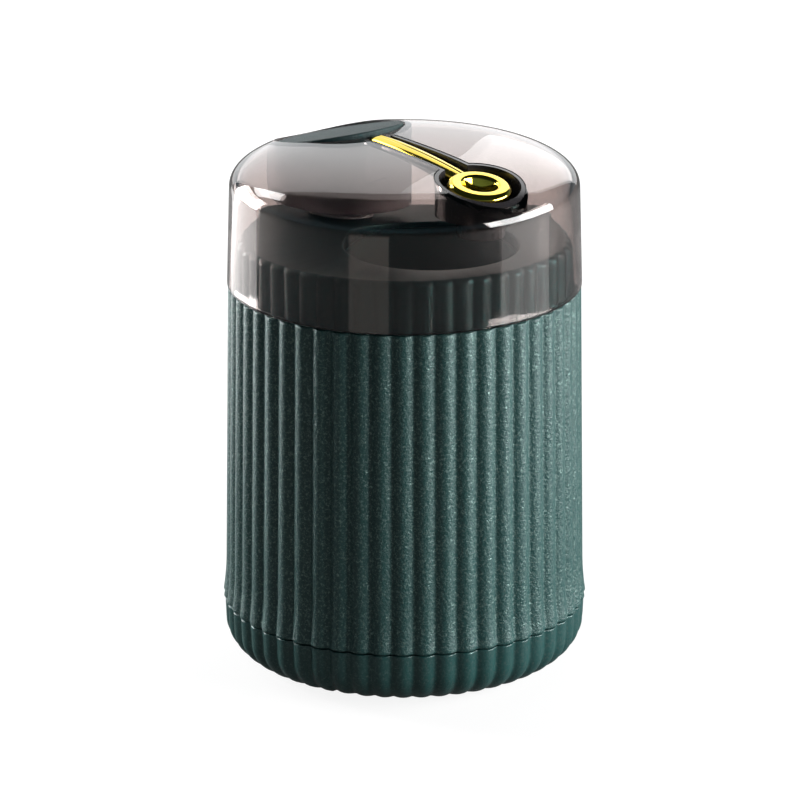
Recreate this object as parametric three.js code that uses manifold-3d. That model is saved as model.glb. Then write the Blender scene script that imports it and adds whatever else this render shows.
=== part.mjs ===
// Press-type toothpick dispenser: a fluted body with a bin for upright picks, a smoked
// dome lid with a push button and a gold outlet ring, and a rocker in the base that
// turns the push of the button into the lift of one pick.
//
// Millimetres, +Z up, origin at the centre of the footprint. -Y is the front, where the
// picks come out of the ring, and +Y is the rear, where the button is.

import * as THREE from 'three';
import { mergeVertices } from 'three/addons/utils/BufferGeometryUtils.js';
import Module from 'manifold-3d';

const wasm = await Module();
wasm.setup();

// Clearances, and the overrun of every cut
const fit = 0.15;
const seatGap = 0.3;
const over = 2;

// Corners of a solid closer than this are one corner
const weldGap = 1e-4;

// Flutes of the body, the neck and the base
const fluteCount = 52;
const pointsPerFlute = 4;
const flutePhase = 0.5;
const fluteDepth = 0.7;
const neckFluteDepth = 0.6;

// Body: a fluted barrel with an inward ledge at its top
const bodyWall = 1.6;
const seamHeight = 11.2;
const barrelLowRadius = 33.85;
const barrelTaper = 0.85;
const flareWidth = 0.65;
const flareHeight = 8;
const ledgeHeight = 72.8;
const ledgeEdge = 0.5;
const ledgeThickness = 1.8;
const bossLength = 11;

// Neck: a fluted ring with the deck, snapped into the ledge by its skirt
const neckHeight = 9.8;
const neckSeat = 1.1;
const skirtLength = 6;
const snapBead = 0.4;
const snapBeadHeight = 1.4;
const deckThickness = 1.8;
const deckEdge = 1.2;

// Bin: an open tube under an off-centre hole in the deck, between the neck and the push rod
const deckHoleInset = 3.5;
const deckHoleToRod = 12;
const deckHoleEdge = 0.5;
const linerWall = 1.4;
const linerFlangeWidth = 1.2;
const linerFlangeThickness = 1.3;
const linerFloorThickness = 2;
const linerFloorSlope = 6;
const laneInset = 1.35;
const laneGuideWall = 1.5;
const laneGuideLength = 7.5;
const linerEarDrop = 9.2;
const linerEarThickness = 1.3;
const linerBossRadius = 3;

// The pick that it holds: the ledge is this much higher than the pick is long, and the tip
// rests this far below the top of the ring
const ledgeOverPick = 7.8;
const pickTipDepth = 3.25;

// Lid: a smoked shell with a drafted wall and a rounded crown
const lidWall = 1.7;
const lidProud = 0.15;
const lidDraft = 0.55;
const lidFit = 0.65;
const shoulderRise = 8.6;
const lidCrown = 8;
const crownExponent = 2.6;
const keyWidth = 2;
const keyHeight = 4;
const keyDepth = 0.7;

// Button: an oval cap with a slanted top in a well of the lid
const pressStroke = 4;
const buttonInset = 1.7;
const buttonHalfWidth = 12.6;
const buttonHalfLength = 10.9;
const buttonSink = 0.85;
const buttonSlant = 14.3;
const buttonHeight = 4.3;
const buttonWall = 1.5;
const buttonPadRadius = 5.2;
const buttonPadDepth = 2.5;
const wellWall = 1.2;
const wellSpare = 1.9;
const wellFloorThickness = 1.2;
const stemRadius = 1.6;
const stemCollarRadius = 2.8;
const stemCover = 1.6;
const stemTail = 1.6;
const clipRadius = 3.2;
const clipThickness = 0.8;
const clipGroove = 0.4;
const clipMouthHalf = 1.08;
const buttonSpringRadius = 4.1;
const buttonSpringWire = 0.5;
const buttonSpringTurns = 4;

// Gold trim: a half-round strip that runs into an outlet ring
const stripHalfWidth = 2.1;
const stripThickness = 1.15;
const stripGap = 0.4;
const stripProud = 0.3;
const stripCrestOffset = 6;
const stripArcRadius = 130;
const ringSink = 0.9;
const ringTilt = 10;
const ringHeight = 2.85;
const ringRadius = 5.95;
const ringTopRadius = 5.6;
const ringBoreRadius = 3.3;
const ringFloorBoreRadius = 2.2;
const ringEdge = 0.35;
const ringFootRadius = 5.25;
const ringFootHeight = 1.3;

// Tray: the dark keyhole insert under the trim
const trayHalfWidth = 3.3;
const trayWall = 0.7;
const trayFloor = 1;
const stripOverhang = 1;
const cupRadius = 8.3;
const cupWall = 1.7;
const cupFloor = 2.6;
const traySink = 0.1;

// Outlet funnel under the ring
const funnelBoreRadius = 1.7;
const funnelMouthRadius = 3.4;
const funnelWall = 1;
const funnelHeight = 3.5;
const funnelFlangeRadius = 4.4;
const funnelSpigot = 1.3;

// Base: a shallow fluted cup that closes the body
const padProud = 0.4;
const baseRimInset = 0.3;
const baseDraft = 0.15;
const baseCornerWidth = 8.05;
const baseCornerHeight = 6.9;
const baseFloor = 2.5;
const baseWall = 2.45;
const baseInnerCorner = 3;
const spigotHeight = 5.5;
const spigotWall = 1.6;
const pillarInset = 3.55;
const pillarRadius = 3;
const pillarHeight = 14;
const screwCount = 3;
const screwShankRadius = 1.25;
const screwHeadRadius = 2.4;
const screwHeadHeight = 1.8;
const screwCrown = 0.6;
const screwSeatHeight = 6;
const screwEngagement = 7;
const padCount = 3;
const padInset = 5;
const padRadius = 4.5;
const padThickness = 1.1;

// Lift: push rod, rocker and lifter
const rodRadius = 2;
const rodHeadRadius = 3;
const rodHeadHeight = 1.5;
const rodGuideWall = 1.5;
const rodGuideLength = 9;
const rodGuideFlangeWidth = 1.4;
const rodGuideFlangeThickness = 0.8;
const lowerGuideRise = 4.5;
const lowerGuideLength = 5;
const pivotShare = 0.375;
const pivotHeight = 11;
const rockerHalfWidth = 2.5;
const rockerHubRadius = 4;
const rockerNoseRadius = 1.75;
const rockerRootHeight = 6;
const rockerTipHeight = 1.9;
const rockerWeb = 1.4;
const axleRadius = 1.45;
const postWidth = 2.6;
const postHalfLength = 3.6;
const liftPinRadius = 1.1;
const liftFootRadius = 2.8;
const liftFootHeight = 1.5;
const liftCupDepth = 0.5;
const returnSpringRadius = 2.9;
const returnSpringWire = 0.5;
const returnSpringTurns = 4;
const springSeatRadius = 3.6;
const springSeatThickness = 0.8;
const springStubHeight = 1.2;

// Round stretches: how many straight steps stand for a full turn
const roundSteps = 40;
const smallSteps = 16;
const crownSteps = 7;
const stripSteps = 8;
const flareSteps = 3;
const cornerSteps = 3;
const springStepsPerTurn = 8;
const springSides = 5;

// Chamfer of a pin's end as a share of its radius
const edgeShare = 0.25;

// Sizes that follow from the ones above: the body, the neck and the base
const radians = THREE.MathUtils.degToRad;
const flareRadius = barrelLowRadius + flareWidth;
const barrelTopRadius = barrelLowRadius - barrelTaper;
const bodyBottom = seamHeight + seatGap / 2;
const barrelLowInner = barrelLowRadius - fluteDepth - bodyWall;
const barrelTopInner = barrelTopRadius - fluteDepth - bodyWall;
const lidLipRadius = barrelTopRadius + lidProud;
const neckRadius = lidLipRadius - lidWall - lidFit;
const neckValley = neckRadius - neckFluteDepth;
const skirtRadius = neckValley - neckSeat;
const neckInner = skirtRadius - bodyWall;
const deckHeight = ledgeHeight + neckHeight;
const deckUnderside = deckHeight - deckThickness;
const baseRimRadius = flareRadius - baseRimInset;
const baseRimHeight = seamHeight - seatGap / 2;
const baseCornerRadius = baseRimRadius - baseDraft;
const baseBottomRadius = baseCornerRadius - baseCornerWidth;
const baseInnerRadius = baseCornerRadius - fluteDepth - baseWall;
const baseFloorTop = padProud + baseFloor;
const spigotOuter = barrelLowInner - seatGap;
const spigotTop = seamHeight + spigotHeight;
const pillarCircle = barrelLowInner - pillarInset;
const pillarTop = baseFloorTop + pillarHeight;
const bossRadius = pillarInset + bodyWall / 2;
const screwSeat = padProud + screwSeatHeight;
const padCircle = baseBottomRadius - padInset;

// The lid and what it carries
const lidBottom = ledgeHeight + seatGap;
const lidShoulderRadius = lidLipRadius - lidDraft;
const lidShoulderHeight = deckHeight + shoulderRise;
const buttonOffset = lidShoulderRadius - buttonInset - buttonHalfLength;
const rodOffset = buttonOffset;
const stripRear = buttonOffset - buttonHalfLength - stripGap;
const trayRear = stripRear - stripOverhang;
const holeFront = neckInner - deckHoleInset;
const holeRear = rodOffset - deckHoleToRod;
const deckHoleRadius = (holeFront + holeRear) / 2;
const binOffset = (holeFront - holeRear) / 2;
const binRadius = deckHoleRadius - fit;
const laneOffset = binOffset + binRadius - laneInset;
const stripCrestHeight = lidShoulderHeight + lidCrown + stripProud;
const ringTopHeight = crownHeight(laneOffset, lidShoulderRadius, lidCrown) - ringSink;
const cupBottom = ringTopHeight - ringHeight - cupFloor;
const cupInner = cupRadius - cupWall;
const channelHalfWidth = trayHalfWidth - trayWall;
const buttonTopHeight = crownHeight(buttonOffset, lidShoulderRadius, lidCrown) - buttonSink;
const buttonBottom = buttonTopHeight - buttonHeight;
const buttonPadBottom = buttonTopHeight - buttonPadDepth;
const wellFloorHeight = buttonBottom - pressStroke - wellSpare;
const wellUnderside = wellFloorHeight - wellFloorThickness;
const stemTop = buttonTopHeight - stemCover;
const stemBottom = wellUnderside - stemTail;

// The bin and the lift
const linerRadius = binRadius + linerWall;
const linerFlangeRadius = linerRadius + linerFlangeWidth;
const linerEarOffset = linerFlangeRadius + seatGap + linerBossRadius;
const linerEarHeight = deckUnderside - linerEarDrop;
const pickLength = ledgeHeight - ledgeOverPick;
const laneFloorHeight = ringTopHeight - pickTipDepth - pickLength;
const laneGuideBottom = laneFloorHeight - laneGuideLength;
const lowerGuideHeight = laneFloorHeight + lowerGuideRise;
const pivotOffset = rodOffset * pivotShare;
const rearArm = rodOffset - pivotOffset;
const frontArm = laneOffset + pivotOffset;
const rockAngle = Math.asin(pressStroke / 2 / rearArm);
const liftStroke = 2 * frontArm * Math.sin(rockAngle);
const rearNoseHeight = pivotHeight + pressStroke / 2;
const frontNoseHeight = pivotHeight - liftStroke / 2;
const rodHeadTop = stemBottom - seatGap;
const rodSinkRadius = Math.max(rodHeadRadius, clipRadius) + seatGap;
const rodSinkBottom = rodHeadTop - rodHeadHeight - pressStroke - seatGap;
const rodGuideRadius = rodSinkRadius + rodGuideWall;
const rodFoot = rearNoseHeight + rockerNoseRadius + seatGap;
const footHeight = frontNoseHeight + rockerNoseRadius + seatGap;

// Geometry helpers

// A closed three.js geometry as a solid that can be joined and cut
function solid(geometry) {
  const bare = geometry.index ? geometry.toNonIndexed() : geometry.clone();
  bare.deleteAttribute('uv');
  bare.deleteAttribute('normal');
  const merged = mergeVertices(bare, weldGap);
  const index = merged.index.array;
  const corners = [];
  for (let i = 0; i < index.length; i += 3) {
    const [a, b, c] = [index[i], index[i + 1], index[i + 2]];
    if (a !== b && b !== c && c !== a) corners.push(a, b, c);
  }
  return new wasm.Manifold(new wasm.Mesh({
    numProp: 3,
    vertProperties: new Float32Array(merged.attributes.position.array),
    triVerts: new Uint32Array(corners),
  }));
}

// A solid back as a geometry
function skin(shape) {
  const { vertProperties, triVerts } = shape.getMesh();
  const geometry = new THREE.BufferGeometry();
  geometry.setAttribute('position', new THREE.BufferAttribute(vertProperties, 3));
  geometry.setIndex(new THREE.BufferAttribute(triVerts, 1));
  geometry.computeVertexNormals();
  return geometry;
}

// A profile of [radius, height] points turned about +Z; it starts and ends on the axis
// or closes on itself, and runs up the outside
function turned(profile, steps = roundSteps) {
  const points = profile.map(([r, z]) => new THREE.Vector2(r, z));
  return new THREE.LatheGeometry(points, steps).rotateX(Math.PI / 2);
}

function turn(profile, steps = roundSteps) {
  return solid(turned(profile, steps));
}

function cylinder(radius, bottom, top, steps = smallSteps) {
  return turn([[0, bottom], [radius, bottom], [radius, top], [0, top]], steps);
}

function box(x0, x1, y0, y1, z0, z1) {
  const geometry = new THREE.BoxGeometry(x1 - x0, y1 - y0, z1 - z0);
  return solid(geometry.translate((x0 + x1) / 2, (y0 + y1) / 2, (z0 + z1) / 2));
}

// An outline in the Y-Z plane drawn as [y, z] points and extruded from -half to +half in X
function sideExtrusion(outline, half) {
  const shape = new THREE.Shape(outline.map(([y, z]) => new THREE.Vector2(y, z)));
  const geometry = new THREE.ExtrudeGeometry(shape, { depth: 2 * half, bevelEnabled: false });
  geometry.translate(0, 0, -half);
  geometry.applyMatrix4(new THREE.Matrix4().makeBasis(
    new THREE.Vector3(0, 1, 0), new THREE.Vector3(0, 0, 1), new THREE.Vector3(1, 0, 0)));
  return solid(geometry);
}

// A cylinder that lies along X
function crossBar(radius, half, y, z, steps = smallSteps) {
  return cylinder(radius, -half, half, steps).rotate([0, 90, 0]).translate([0, y, z]);
}

// An oval prism that stands on the X-Y plane
function oval(halfWidth, halfLength, bottom, top) {
  const shape = new THREE.Shape();
  shape.absellipse(0, 0, halfWidth, halfLength, 0, 2 * Math.PI, false, 0);
  const options = { depth: top - bottom, bevelEnabled: false, curveSegments: roundSteps / 2 };
  return solid(new THREE.ExtrudeGeometry(shape, options).translate(0, 0, bottom));
}

// How far a point of the turn lies below the crest of its flute: 0 at a crest, 1 in a valley
function fluteFall(angle) {
  const place = (angle / (2 * Math.PI)) * fluteCount + flutePhase;
  const offCrest = Math.abs(place - Math.round(place));
  return (2 * offCrest) ** 2;
}

// A turned solid whose outside is fluted: the profile holds [crest radius, height, depth]
function fluted(profile) {
  const geometry = turned(profile, fluteCount * pointsPerFlute);
  const place = geometry.attributes.position;
  for (let i = 0; i < place.count; i += 1) {
    const depth = profile[i % profile.length][2];
    const x = place.getX(i);
    const y = place.getY(i);
    const radius = Math.hypot(x, y);
    if (depth > 0) {
      const share = (radius - depth * fluteFall(Math.atan2(x, -y))) / radius;
      place.setXY(i, x * share, y * share);
    }
  }
  return solid(geometry);
}

// The crown of the lid: height at a radius, for a shell with this shoulder and rise
function crownHeight(radius, shoulder, rise) {
  const across = Math.min(radius / shoulder, 1) ** crownExponent;
  return lidShoulderHeight + rise * (1 - across) ** (1 / crownExponent);
}

// The crown as profile points from the shoulder to the axis
function crownProfile(shoulder, rise, steps) {
  return Array.from({ length: steps }, (_, i) => {
    const angle = (Math.PI / 2) * ((i + 1) / steps);
    const radius = i + 1 < steps ? shoulder * Math.cos(angle) ** (2 / crownExponent) : 0;
    return [radius, crownHeight(radius, shoulder, rise)];
  });
}

// Height of the strip's crest at a distance in front of the axis
function stripCrest(ahead) {
  const run = ahead + stripCrestOffset;
  return stripCrestHeight - stripArcRadius + Math.sqrt(stripArcRadius ** 2 - run ** 2);
}

// The crest line lowered by drop, as [y, z] points from the rear to the front
function stripLine(rear, front, drop) {
  return Array.from({ length: stripSteps + 1 }, (_, i) => {
    const ahead = THREE.MathUtils.lerp(-rear, front, i / stripSteps);
    return [-ahead, stripCrest(ahead) - drop];
  });
}

// A coil about +Z whose wire runs straight for one diameter at both ends
class Coil extends THREE.Curve {
  constructor(radius, turns, bottom, top, lead) {
    super();
    Object.assign(this, { radius, turns, bottom, top });
    this.leadShare = lead / (2 * lead + turns * 2 * Math.PI * radius);
  }

  getPoint(share, target = new THREE.Vector3()) {
    const wound = (share - this.leadShare) / (1 - 2 * this.leadShare);
    const held = THREE.MathUtils.clamp(wound, 0, 1);
    const angle = held * this.turns * 2 * Math.PI;
    const rise = (this.top - this.bottom) * held;
    const arc = this.turns * 2 * Math.PI * this.radius;
    const past = (wound - held) * arc;
    target.set(this.radius * Math.cos(angle), this.radius * Math.sin(angle), this.bottom + rise);
    return target.add(new THREE.Vector3(-Math.sin(angle) * past, Math.cos(angle) * past, 0));
  }
}

// The least gap between two curls, measured on points half a turn or more apart
function leastGap(curve, wire, turns) {
  const points = curve.getSpacedPoints(springStepsPerTurn * turns);
  const apart = springStepsPerTurn / 2;
  let least = Infinity;
  points.forEach((point, i) => {
    points.slice(i + apart).forEach((other) => {
      least = Math.min(least, point.distanceTo(other) - wire);
    });
  });
  return least;
}

function spring(name, radius, wire, turns, bottom, top) {
  const curve = new Coil(radius, turns, bottom + wire / 2, top - wire / 2, wire);
  console.log(`${name}: least gap between curls ${leastGap(curve, wire, turns).toFixed(2)} mm`);
  const section = new THREE.Shape();
  section.absarc(0, 0, wire / 2, 0, 2 * Math.PI);
  return solid(new THREE.ExtrudeGeometry(section, {
    steps: springStepsPerTurn * turns + 2,
    extrudePath: curve,
    curveSegments: springSides / 2,
  }));
}

// Places of a ring of like features; the first lies at this many degrees from +X towards +Y
function ringPlaces(count, circle, startDegrees) {
  return Array.from({ length: count }, (_, i) => {
    const angle = radians(startDegrees) + (2 * Math.PI * i) / count;
    return [circle * Math.cos(angle), circle * Math.sin(angle)];
  });
}

const screwPlaces = ringPlaces(screwCount, pillarCircle, 90);
const padPlaces = ringPlaces(padCount, padCircle, 270);
const linerScrewPlaces = [[-linerEarOffset, -binOffset], [linerEarOffset, -binOffset]];

// Body and bin

// Fluted barrel with the ledge that the lid sits on
function bodyShell() {
  const flareTop = bodyBottom + flareHeight;
  const flare = Array.from({ length: flareSteps }, (_, i) => {
    const up = (i + 1) / flareSteps;
    const out = flareWidth * (1 - up) ** 2;
    return [barrelLowRadius + out, bodyBottom + flareHeight * up, fluteDepth];
  });
  const outer = fluted([
    [0, bodyBottom, 0],
    [flareRadius, bodyBottom, fluteDepth],
    ...flare,
    [barrelTopRadius, ledgeHeight - ledgeEdge, fluteDepth],
    [barrelTopRadius - ledgeEdge, ledgeHeight, fluteDepth],
    [0, ledgeHeight, 0],
  ]);
  const room = turn([
    [0, bodyBottom - over],
    [barrelLowInner, bodyBottom - over],
    [barrelLowInner, flareTop],
    [barrelTopInner, ledgeHeight - ledgeThickness],
    [skirtRadius + seatGap, ledgeHeight - ledgeThickness],
    [skirtRadius + seatGap, ledgeHeight + over],
    [0, ledgeHeight + over],
  ]);
  let body = outer.subtract(room);

  // Screw bosses for the base, on the inside of the barrel
  const bossBottom = pillarTop + seatGap;
  const bore = cylinder(screwShankRadius + fit, bossBottom - over, bossBottom + screwEngagement);
  for (const [x, y] of screwPlaces) {
    body = body
      .add(cylinder(bossRadius, bossBottom, bossBottom + bossLength).translate([x, y, 0]))
      .subtract(bore.translate([x, y, 0]));
  }
  return body;
}

// Fluted neck and deck in one moulding, with a skirt that snaps into the ledge
function neckDeck() {
  const neckBottom = ledgeHeight + seatGap;
  const skirtBottom = ledgeHeight - skirtLength;
  const beadTop = ledgeHeight - ledgeThickness - seatGap;
  const outer = fluted([
    [0, neckBottom, 0],
    [neckRadius, neckBottom, neckFluteDepth],
    [neckRadius, deckHeight - deckEdge, neckFluteDepth],
    [neckRadius - deckEdge, deckHeight, 0],
    [0, deckHeight, 0],
  ]);
  const skirt = turn([
    [0, skirtBottom],
    [skirtRadius, skirtBottom],
    [skirtRadius, beadTop - snapBeadHeight],
    [skirtRadius + seatGap + snapBead, beadTop],
    [skirtRadius, beadTop],
    [skirtRadius, neckBottom + fit],
    [0, neckBottom + fit],
  ]);
  const room = cylinder(neckInner, skirtBottom - over, deckUnderside, roundSteps);
  const hole = turn([
    [0, deckUnderside - over],
    [deckHoleRadius, deckUnderside - over],
    [deckHoleRadius, deckHeight - deckHoleEdge],
    [deckHoleRadius + deckHoleEdge + over, deckHeight + over],
    [0, deckHeight + over],
  ]).translate([0, -binOffset, 0]);
  let neck = outer.add(skirt).subtract(room).subtract(hole);

  // Hole for the guide bush of the push rod
  neck = neck.subtract(cylinder(rodGuideRadius + seatGap, deckUnderside - over, deckHeight + over)
    .translate([0, rodOffset, 0]));

  // Screw bosses for the bin liner, hanging from the deck
  const earTop = linerEarHeight + linerEarThickness + seatGap;
  for (const [x, y] of linerScrewPlaces) {
    neck = neck
      .add(cylinder(linerBossRadius, earTop, deckUnderside + fit).translate([x, y, 0]))
      .subtract(cylinder(screwShankRadius + fit, earTop - over, earTop + screwEngagement)
        .translate([x, y, 0]));
  }

  // Groove in the neck for the key of the lid
  const grooveHalf = keyWidth / 2 + seatGap;
  return neck.subtract(box(-grooveHalf, grooveHalf, neckValley - keyDepth, neckRadius + over,
    ledgeHeight, deckHeight + over));
}

// Flanged bush in the deck, with a counterbore that the head of the rod and the clip sink into
function rodGuide() {
  const bottom = rodSinkBottom - rodGuideLength;
  const flangeBottom = deckHeight + seatGap;
  const top = flangeBottom + rodGuideFlangeThickness;
  return turn([
    [rodRadius + seatGap, bottom],
    [rodGuideRadius, bottom],
    [rodGuideRadius, flangeBottom],
    [rodGuideRadius + rodGuideFlangeWidth, flangeBottom],
    [rodGuideRadius + rodGuideFlangeWidth, top],
    [rodSinkRadius, top],
    [rodSinkRadius, rodSinkBottom],
    [rodRadius + seatGap, rodSinkBottom],
    [rodRadius + seatGap, bottom],
  ], smallSteps);
}

// Open tube with a sloping floor that leads the picks to the lane at the front
function binLiner() {
  const flangeTop = deckUnderside - seatGap;
  const wallReach = 2 * linerRadius;
  const floorAt = (y) => laneFloorHeight + (y + laneOffset) * Math.tan(radians(linerFloorSlope));
  const slab = (bottom, top) => sideExtrusion([
    [-binOffset - wallReach, floorAt(-binOffset - wallReach) + bottom],
    [-binOffset + wallReach, floorAt(-binOffset + wallReach) + bottom],
    [-binOffset + wallReach, top],
    [-binOffset - wallReach, top],
  ], wallReach);
  const tube = turn([
    [0, laneGuideBottom - linerFloorThickness],
    [linerRadius, laneGuideBottom - linerFloorThickness],
    [linerRadius, flangeTop - linerFlangeThickness],
    [linerFlangeRadius, flangeTop - linerFlangeThickness],
    [linerFlangeRadius, flangeTop],
    [0, flangeTop],
  ]).translate([0, -binOffset, 0]);
  const room = cylinder(binRadius, laneGuideBottom, flangeTop + over, roundSteps)
    .translate([0, -binOffset, 0]);
  const guideRadius = liftPinRadius + fit + laneGuideWall;
  let liner = tube
    .intersect(slab(-linerFloorThickness, deckHeight))
    .subtract(room.intersect(slab(0, deckHeight)))
    .add(cylinder(guideRadius, laneGuideBottom, laneFloorHeight - fit)
      .translate([0, -laneOffset, 0]));

  // Ears that the liner screws go through
  for (const [x, y] of linerScrewPlaces) {
    const inner = Math.sign(x) * (binRadius + linerWall / 2);
    const earTop = linerEarHeight + linerEarThickness;
    const [x0, x1] = [Math.min(inner, x), Math.max(inner, x)];
    liner = liner
      .add(box(x0, x1, y - linerBossRadius, y + linerBossRadius, linerEarHeight, earTop))
      .add(cylinder(linerBossRadius, linerEarHeight, earTop).translate([x, y, 0]))
      .subtract(cylinder(screwShankRadius + fit, linerEarHeight - over, earTop + over)
        .translate([x, y, 0]));
  }

  // Arm with the lower guide of the push rod
  const guideTop = lowerGuideHeight + lowerGuideLength;
  const outer = rodRadius + seatGap + rodGuideWall;
  const armRoot = -binOffset + binRadius + linerWall / 2;
  return liner
    .add(box(-rodGuideWall, rodGuideWall, armRoot, rodOffset, lowerGuideHeight, guideTop))
    .add(cylinder(outer, lowerGuideHeight, guideTop).translate([0, rodOffset, 0]))
    .subtract(cylinder(rodRadius + seatGap, lowerGuideHeight - over, guideTop + over)
      .translate([0, rodOffset, 0]))
    .subtract(cylinder(liftPinRadius + fit, laneGuideBottom - over, laneFloorHeight + over)
      .translate([0, -laneOffset, 0]));
}

// Pan-head screw that stands head down
function screw(headUnderside, tip) {
  const headBottom = headUnderside - screwHeadHeight;
  return turn([
    [0, headBottom],
    [screwHeadRadius - screwCrown, headBottom],
    [screwHeadRadius, headBottom + screwCrown],
    [screwHeadRadius, headUnderside],
    [screwShankRadius, headUnderside],
    [screwShankRadius, tip - screwShankRadius],
    [0, tip],
  ], smallSteps / 2);
}

// Base

// Shallow fluted cup with the posts of the rocker, the spring stub and the screw pillars
function baseCup() {
  const corner = Array.from({ length: cornerSteps + 1 }, (_, i) => {
    const angle = (Math.PI / 2) * (i / cornerSteps);
    return [
      baseBottomRadius + (baseCornerRadius - baseBottomRadius) * Math.sin(angle),
      padProud + baseCornerHeight * (1 - Math.cos(angle)),
      fluteDepth,
    ];
  });
  let base = fluted([
    [0, padProud, 0],
    ...corner,
    [baseRimRadius, baseRimHeight, fluteDepth],
    [0, baseRimHeight, 0],
  ]);
  const spigotInner = spigotOuter - spigotWall;
  base = base
    .subtract(turn([
      [0, baseFloorTop],
      [baseInnerRadius - baseInnerCorner, baseFloorTop],
      [baseInnerRadius, baseFloorTop + baseInnerCorner],
      [baseInnerRadius, baseRimHeight + over],
      [0, baseRimHeight + over],
    ]))
    .add(turn([
      [spigotInner, seamHeight - spigotHeight / 2],
      [spigotOuter, seamHeight - spigotHeight / 2],
      [spigotOuter, spigotTop],
      [spigotInner, spigotTop],
      [spigotInner, seamHeight - spigotHeight / 2],
    ]));
  for (const [x, y] of screwPlaces) {
    base = base
      .add(cylinder(pillarRadius, baseFloorTop - fit, pillarTop).translate([x, y, 0]))
      .subtract(cylinder(screwShankRadius + fit, 0, pillarTop + over).translate([x, y, 0]))
      .subtract(cylinder(screwHeadRadius + fit, 0, screwSeat).translate([x, y, 0]));
  }
  for (const [x, y] of padPlaces) {
    base = base.subtract(cylinder(padRadius + fit, 0, padThickness + fit).translate([x, y, 0]));
  }

  // Posts on both sides of the rocker
  const inner = rockerHalfWidth + seatGap;
  for (const side of [-1, 1]) {
    const [x0, x1] = [side * inner, side * (inner + postWidth)].sort((a, b) => a - b);
    base = base
      .add(box(x0, x1, pivotOffset - postHalfLength, pivotOffset + postHalfLength,
        baseFloorTop - fit, pivotHeight))
      .add(crossBar(postHalfLength, postWidth / 2, pivotOffset, pivotHeight)
        .translate([side * (inner + postWidth / 2), 0, 0]));
  }
  const stubRadius = returnSpringRadius - returnSpringWire / 2 - seatGap;
  return base
    .subtract(crossBar(axleRadius + fit, inner + postWidth + over, pivotOffset, pivotHeight))
    .add(cylinder(stubRadius, baseFloorTop - fit, baseFloorTop + springStubHeight)
      .translate([0, rodOffset, 0]));
}

function footPad() {
  const edge = padThickness * edgeShare;
  return turn([
    [0, 0],
    [padRadius - edge, 0],
    [padRadius, edge],
    [padRadius, padThickness],
    [0, padThickness],
  ], smallSteps);
}

// Lift

// Two-armed lever about its own pivot, level, with round noses and a thinned front arm
function rocker() {
  const halfHeight = (y, length) => THREE.MathUtils.lerp(
    rockerRootHeight / 2, rockerTipHeight / 2, Math.abs(y / length));
  const arm = (from, to, length, inset, half) => {
    const [y0, y1] = [Math.min(from, to), Math.max(from, to)];
    const [h0, h1] = [halfHeight(y0, length) - inset, halfHeight(y1, length) - inset];
    return sideExtrusion([[y0, -h0], [y1, -h1], [y1, h1], [y0, h0]], half);
  };
  const nose = (y) => crossBar(rockerNoseRadius, rockerHalfWidth, y, 0);
  const pocketDepth = (rockerHalfWidth - rockerWeb / 2) / 2;
  const pocket = arm(-rockerHubRadius - rockerWeb, rockerNoseRadius + rockerWeb - frontArm,
    frontArm, rockerWeb / 2, pocketDepth + fit);
  const pocketPlace = rockerHalfWidth - pocketDepth + fit;
  const seatTop = -rockerNoseRadius + springSeatThickness / 2;
  const seatBottom = -rockerNoseRadius - springSeatThickness / 2;
  const stubRadius = returnSpringRadius - returnSpringWire / 2 - seatGap;
  return crossBar(rockerHubRadius, rockerHalfWidth, 0, 0)
    .add(arm(0, -frontArm, frontArm, 0, rockerHalfWidth))
    .add(arm(0, rearArm, rearArm, 0, rockerHalfWidth))
    .subtract(pocket.translate([pocketPlace, 0, 0]))
    .subtract(pocket.translate([-pocketPlace, 0, 0]))
    .add(nose(-frontArm))
    .add(nose(rearArm))
    .add(cylinder(springSeatRadius, seatBottom, seatTop).translate([0, rearArm, 0]))
    .add(cylinder(stubRadius, seatBottom - springStubHeight, seatTop).translate([0, rearArm, 0]))
    .subtract(crossBar(axleRadius + fit, rockerHalfWidth + over, 0, 0));
}

// Pin with a cupped tip that a pick stands on
function lifter() {
  const length = laneFloorHeight - footHeight;
  const edge = liftPinRadius * edgeShare;
  return turn([
    [0, 0],
    [liftFootRadius, 0],
    [liftFootRadius, liftFootHeight],
    [liftPinRadius, liftFootHeight],
    [liftPinRadius, length - edge],
    [liftPinRadius - edge, length],
    [0, length - liftCupDepth],
  ], smallSteps);
}

function pushRod() {
  const edge = rodRadius * edgeShare;
  return turn([
    [0, rodFoot],
    [rodRadius - edge, rodFoot],
    [rodRadius, rodFoot + edge],
    [rodRadius, rodHeadTop - rodHeadHeight],
    [rodHeadRadius, rodHeadTop - rodHeadHeight],
    [rodHeadRadius, rodHeadTop - edge],
    [rodHeadRadius - edge, rodHeadTop],
    [0, rodHeadTop],
  ], smallSteps);
}

// Lid

// The prism of the keyhole insert, widened by a margin
function keyhole(margin, cupBase) {
  const top = stripCrestHeight + over;
  const channel = box(-trayHalfWidth - margin, trayHalfWidth + margin, -laneOffset,
    trayRear + margin, cupBase, top);
  return channel.add(cylinder(cupRadius + margin, cupBase, top, roundSteps)
    .translate([0, -laneOffset, 0]));
}

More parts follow.
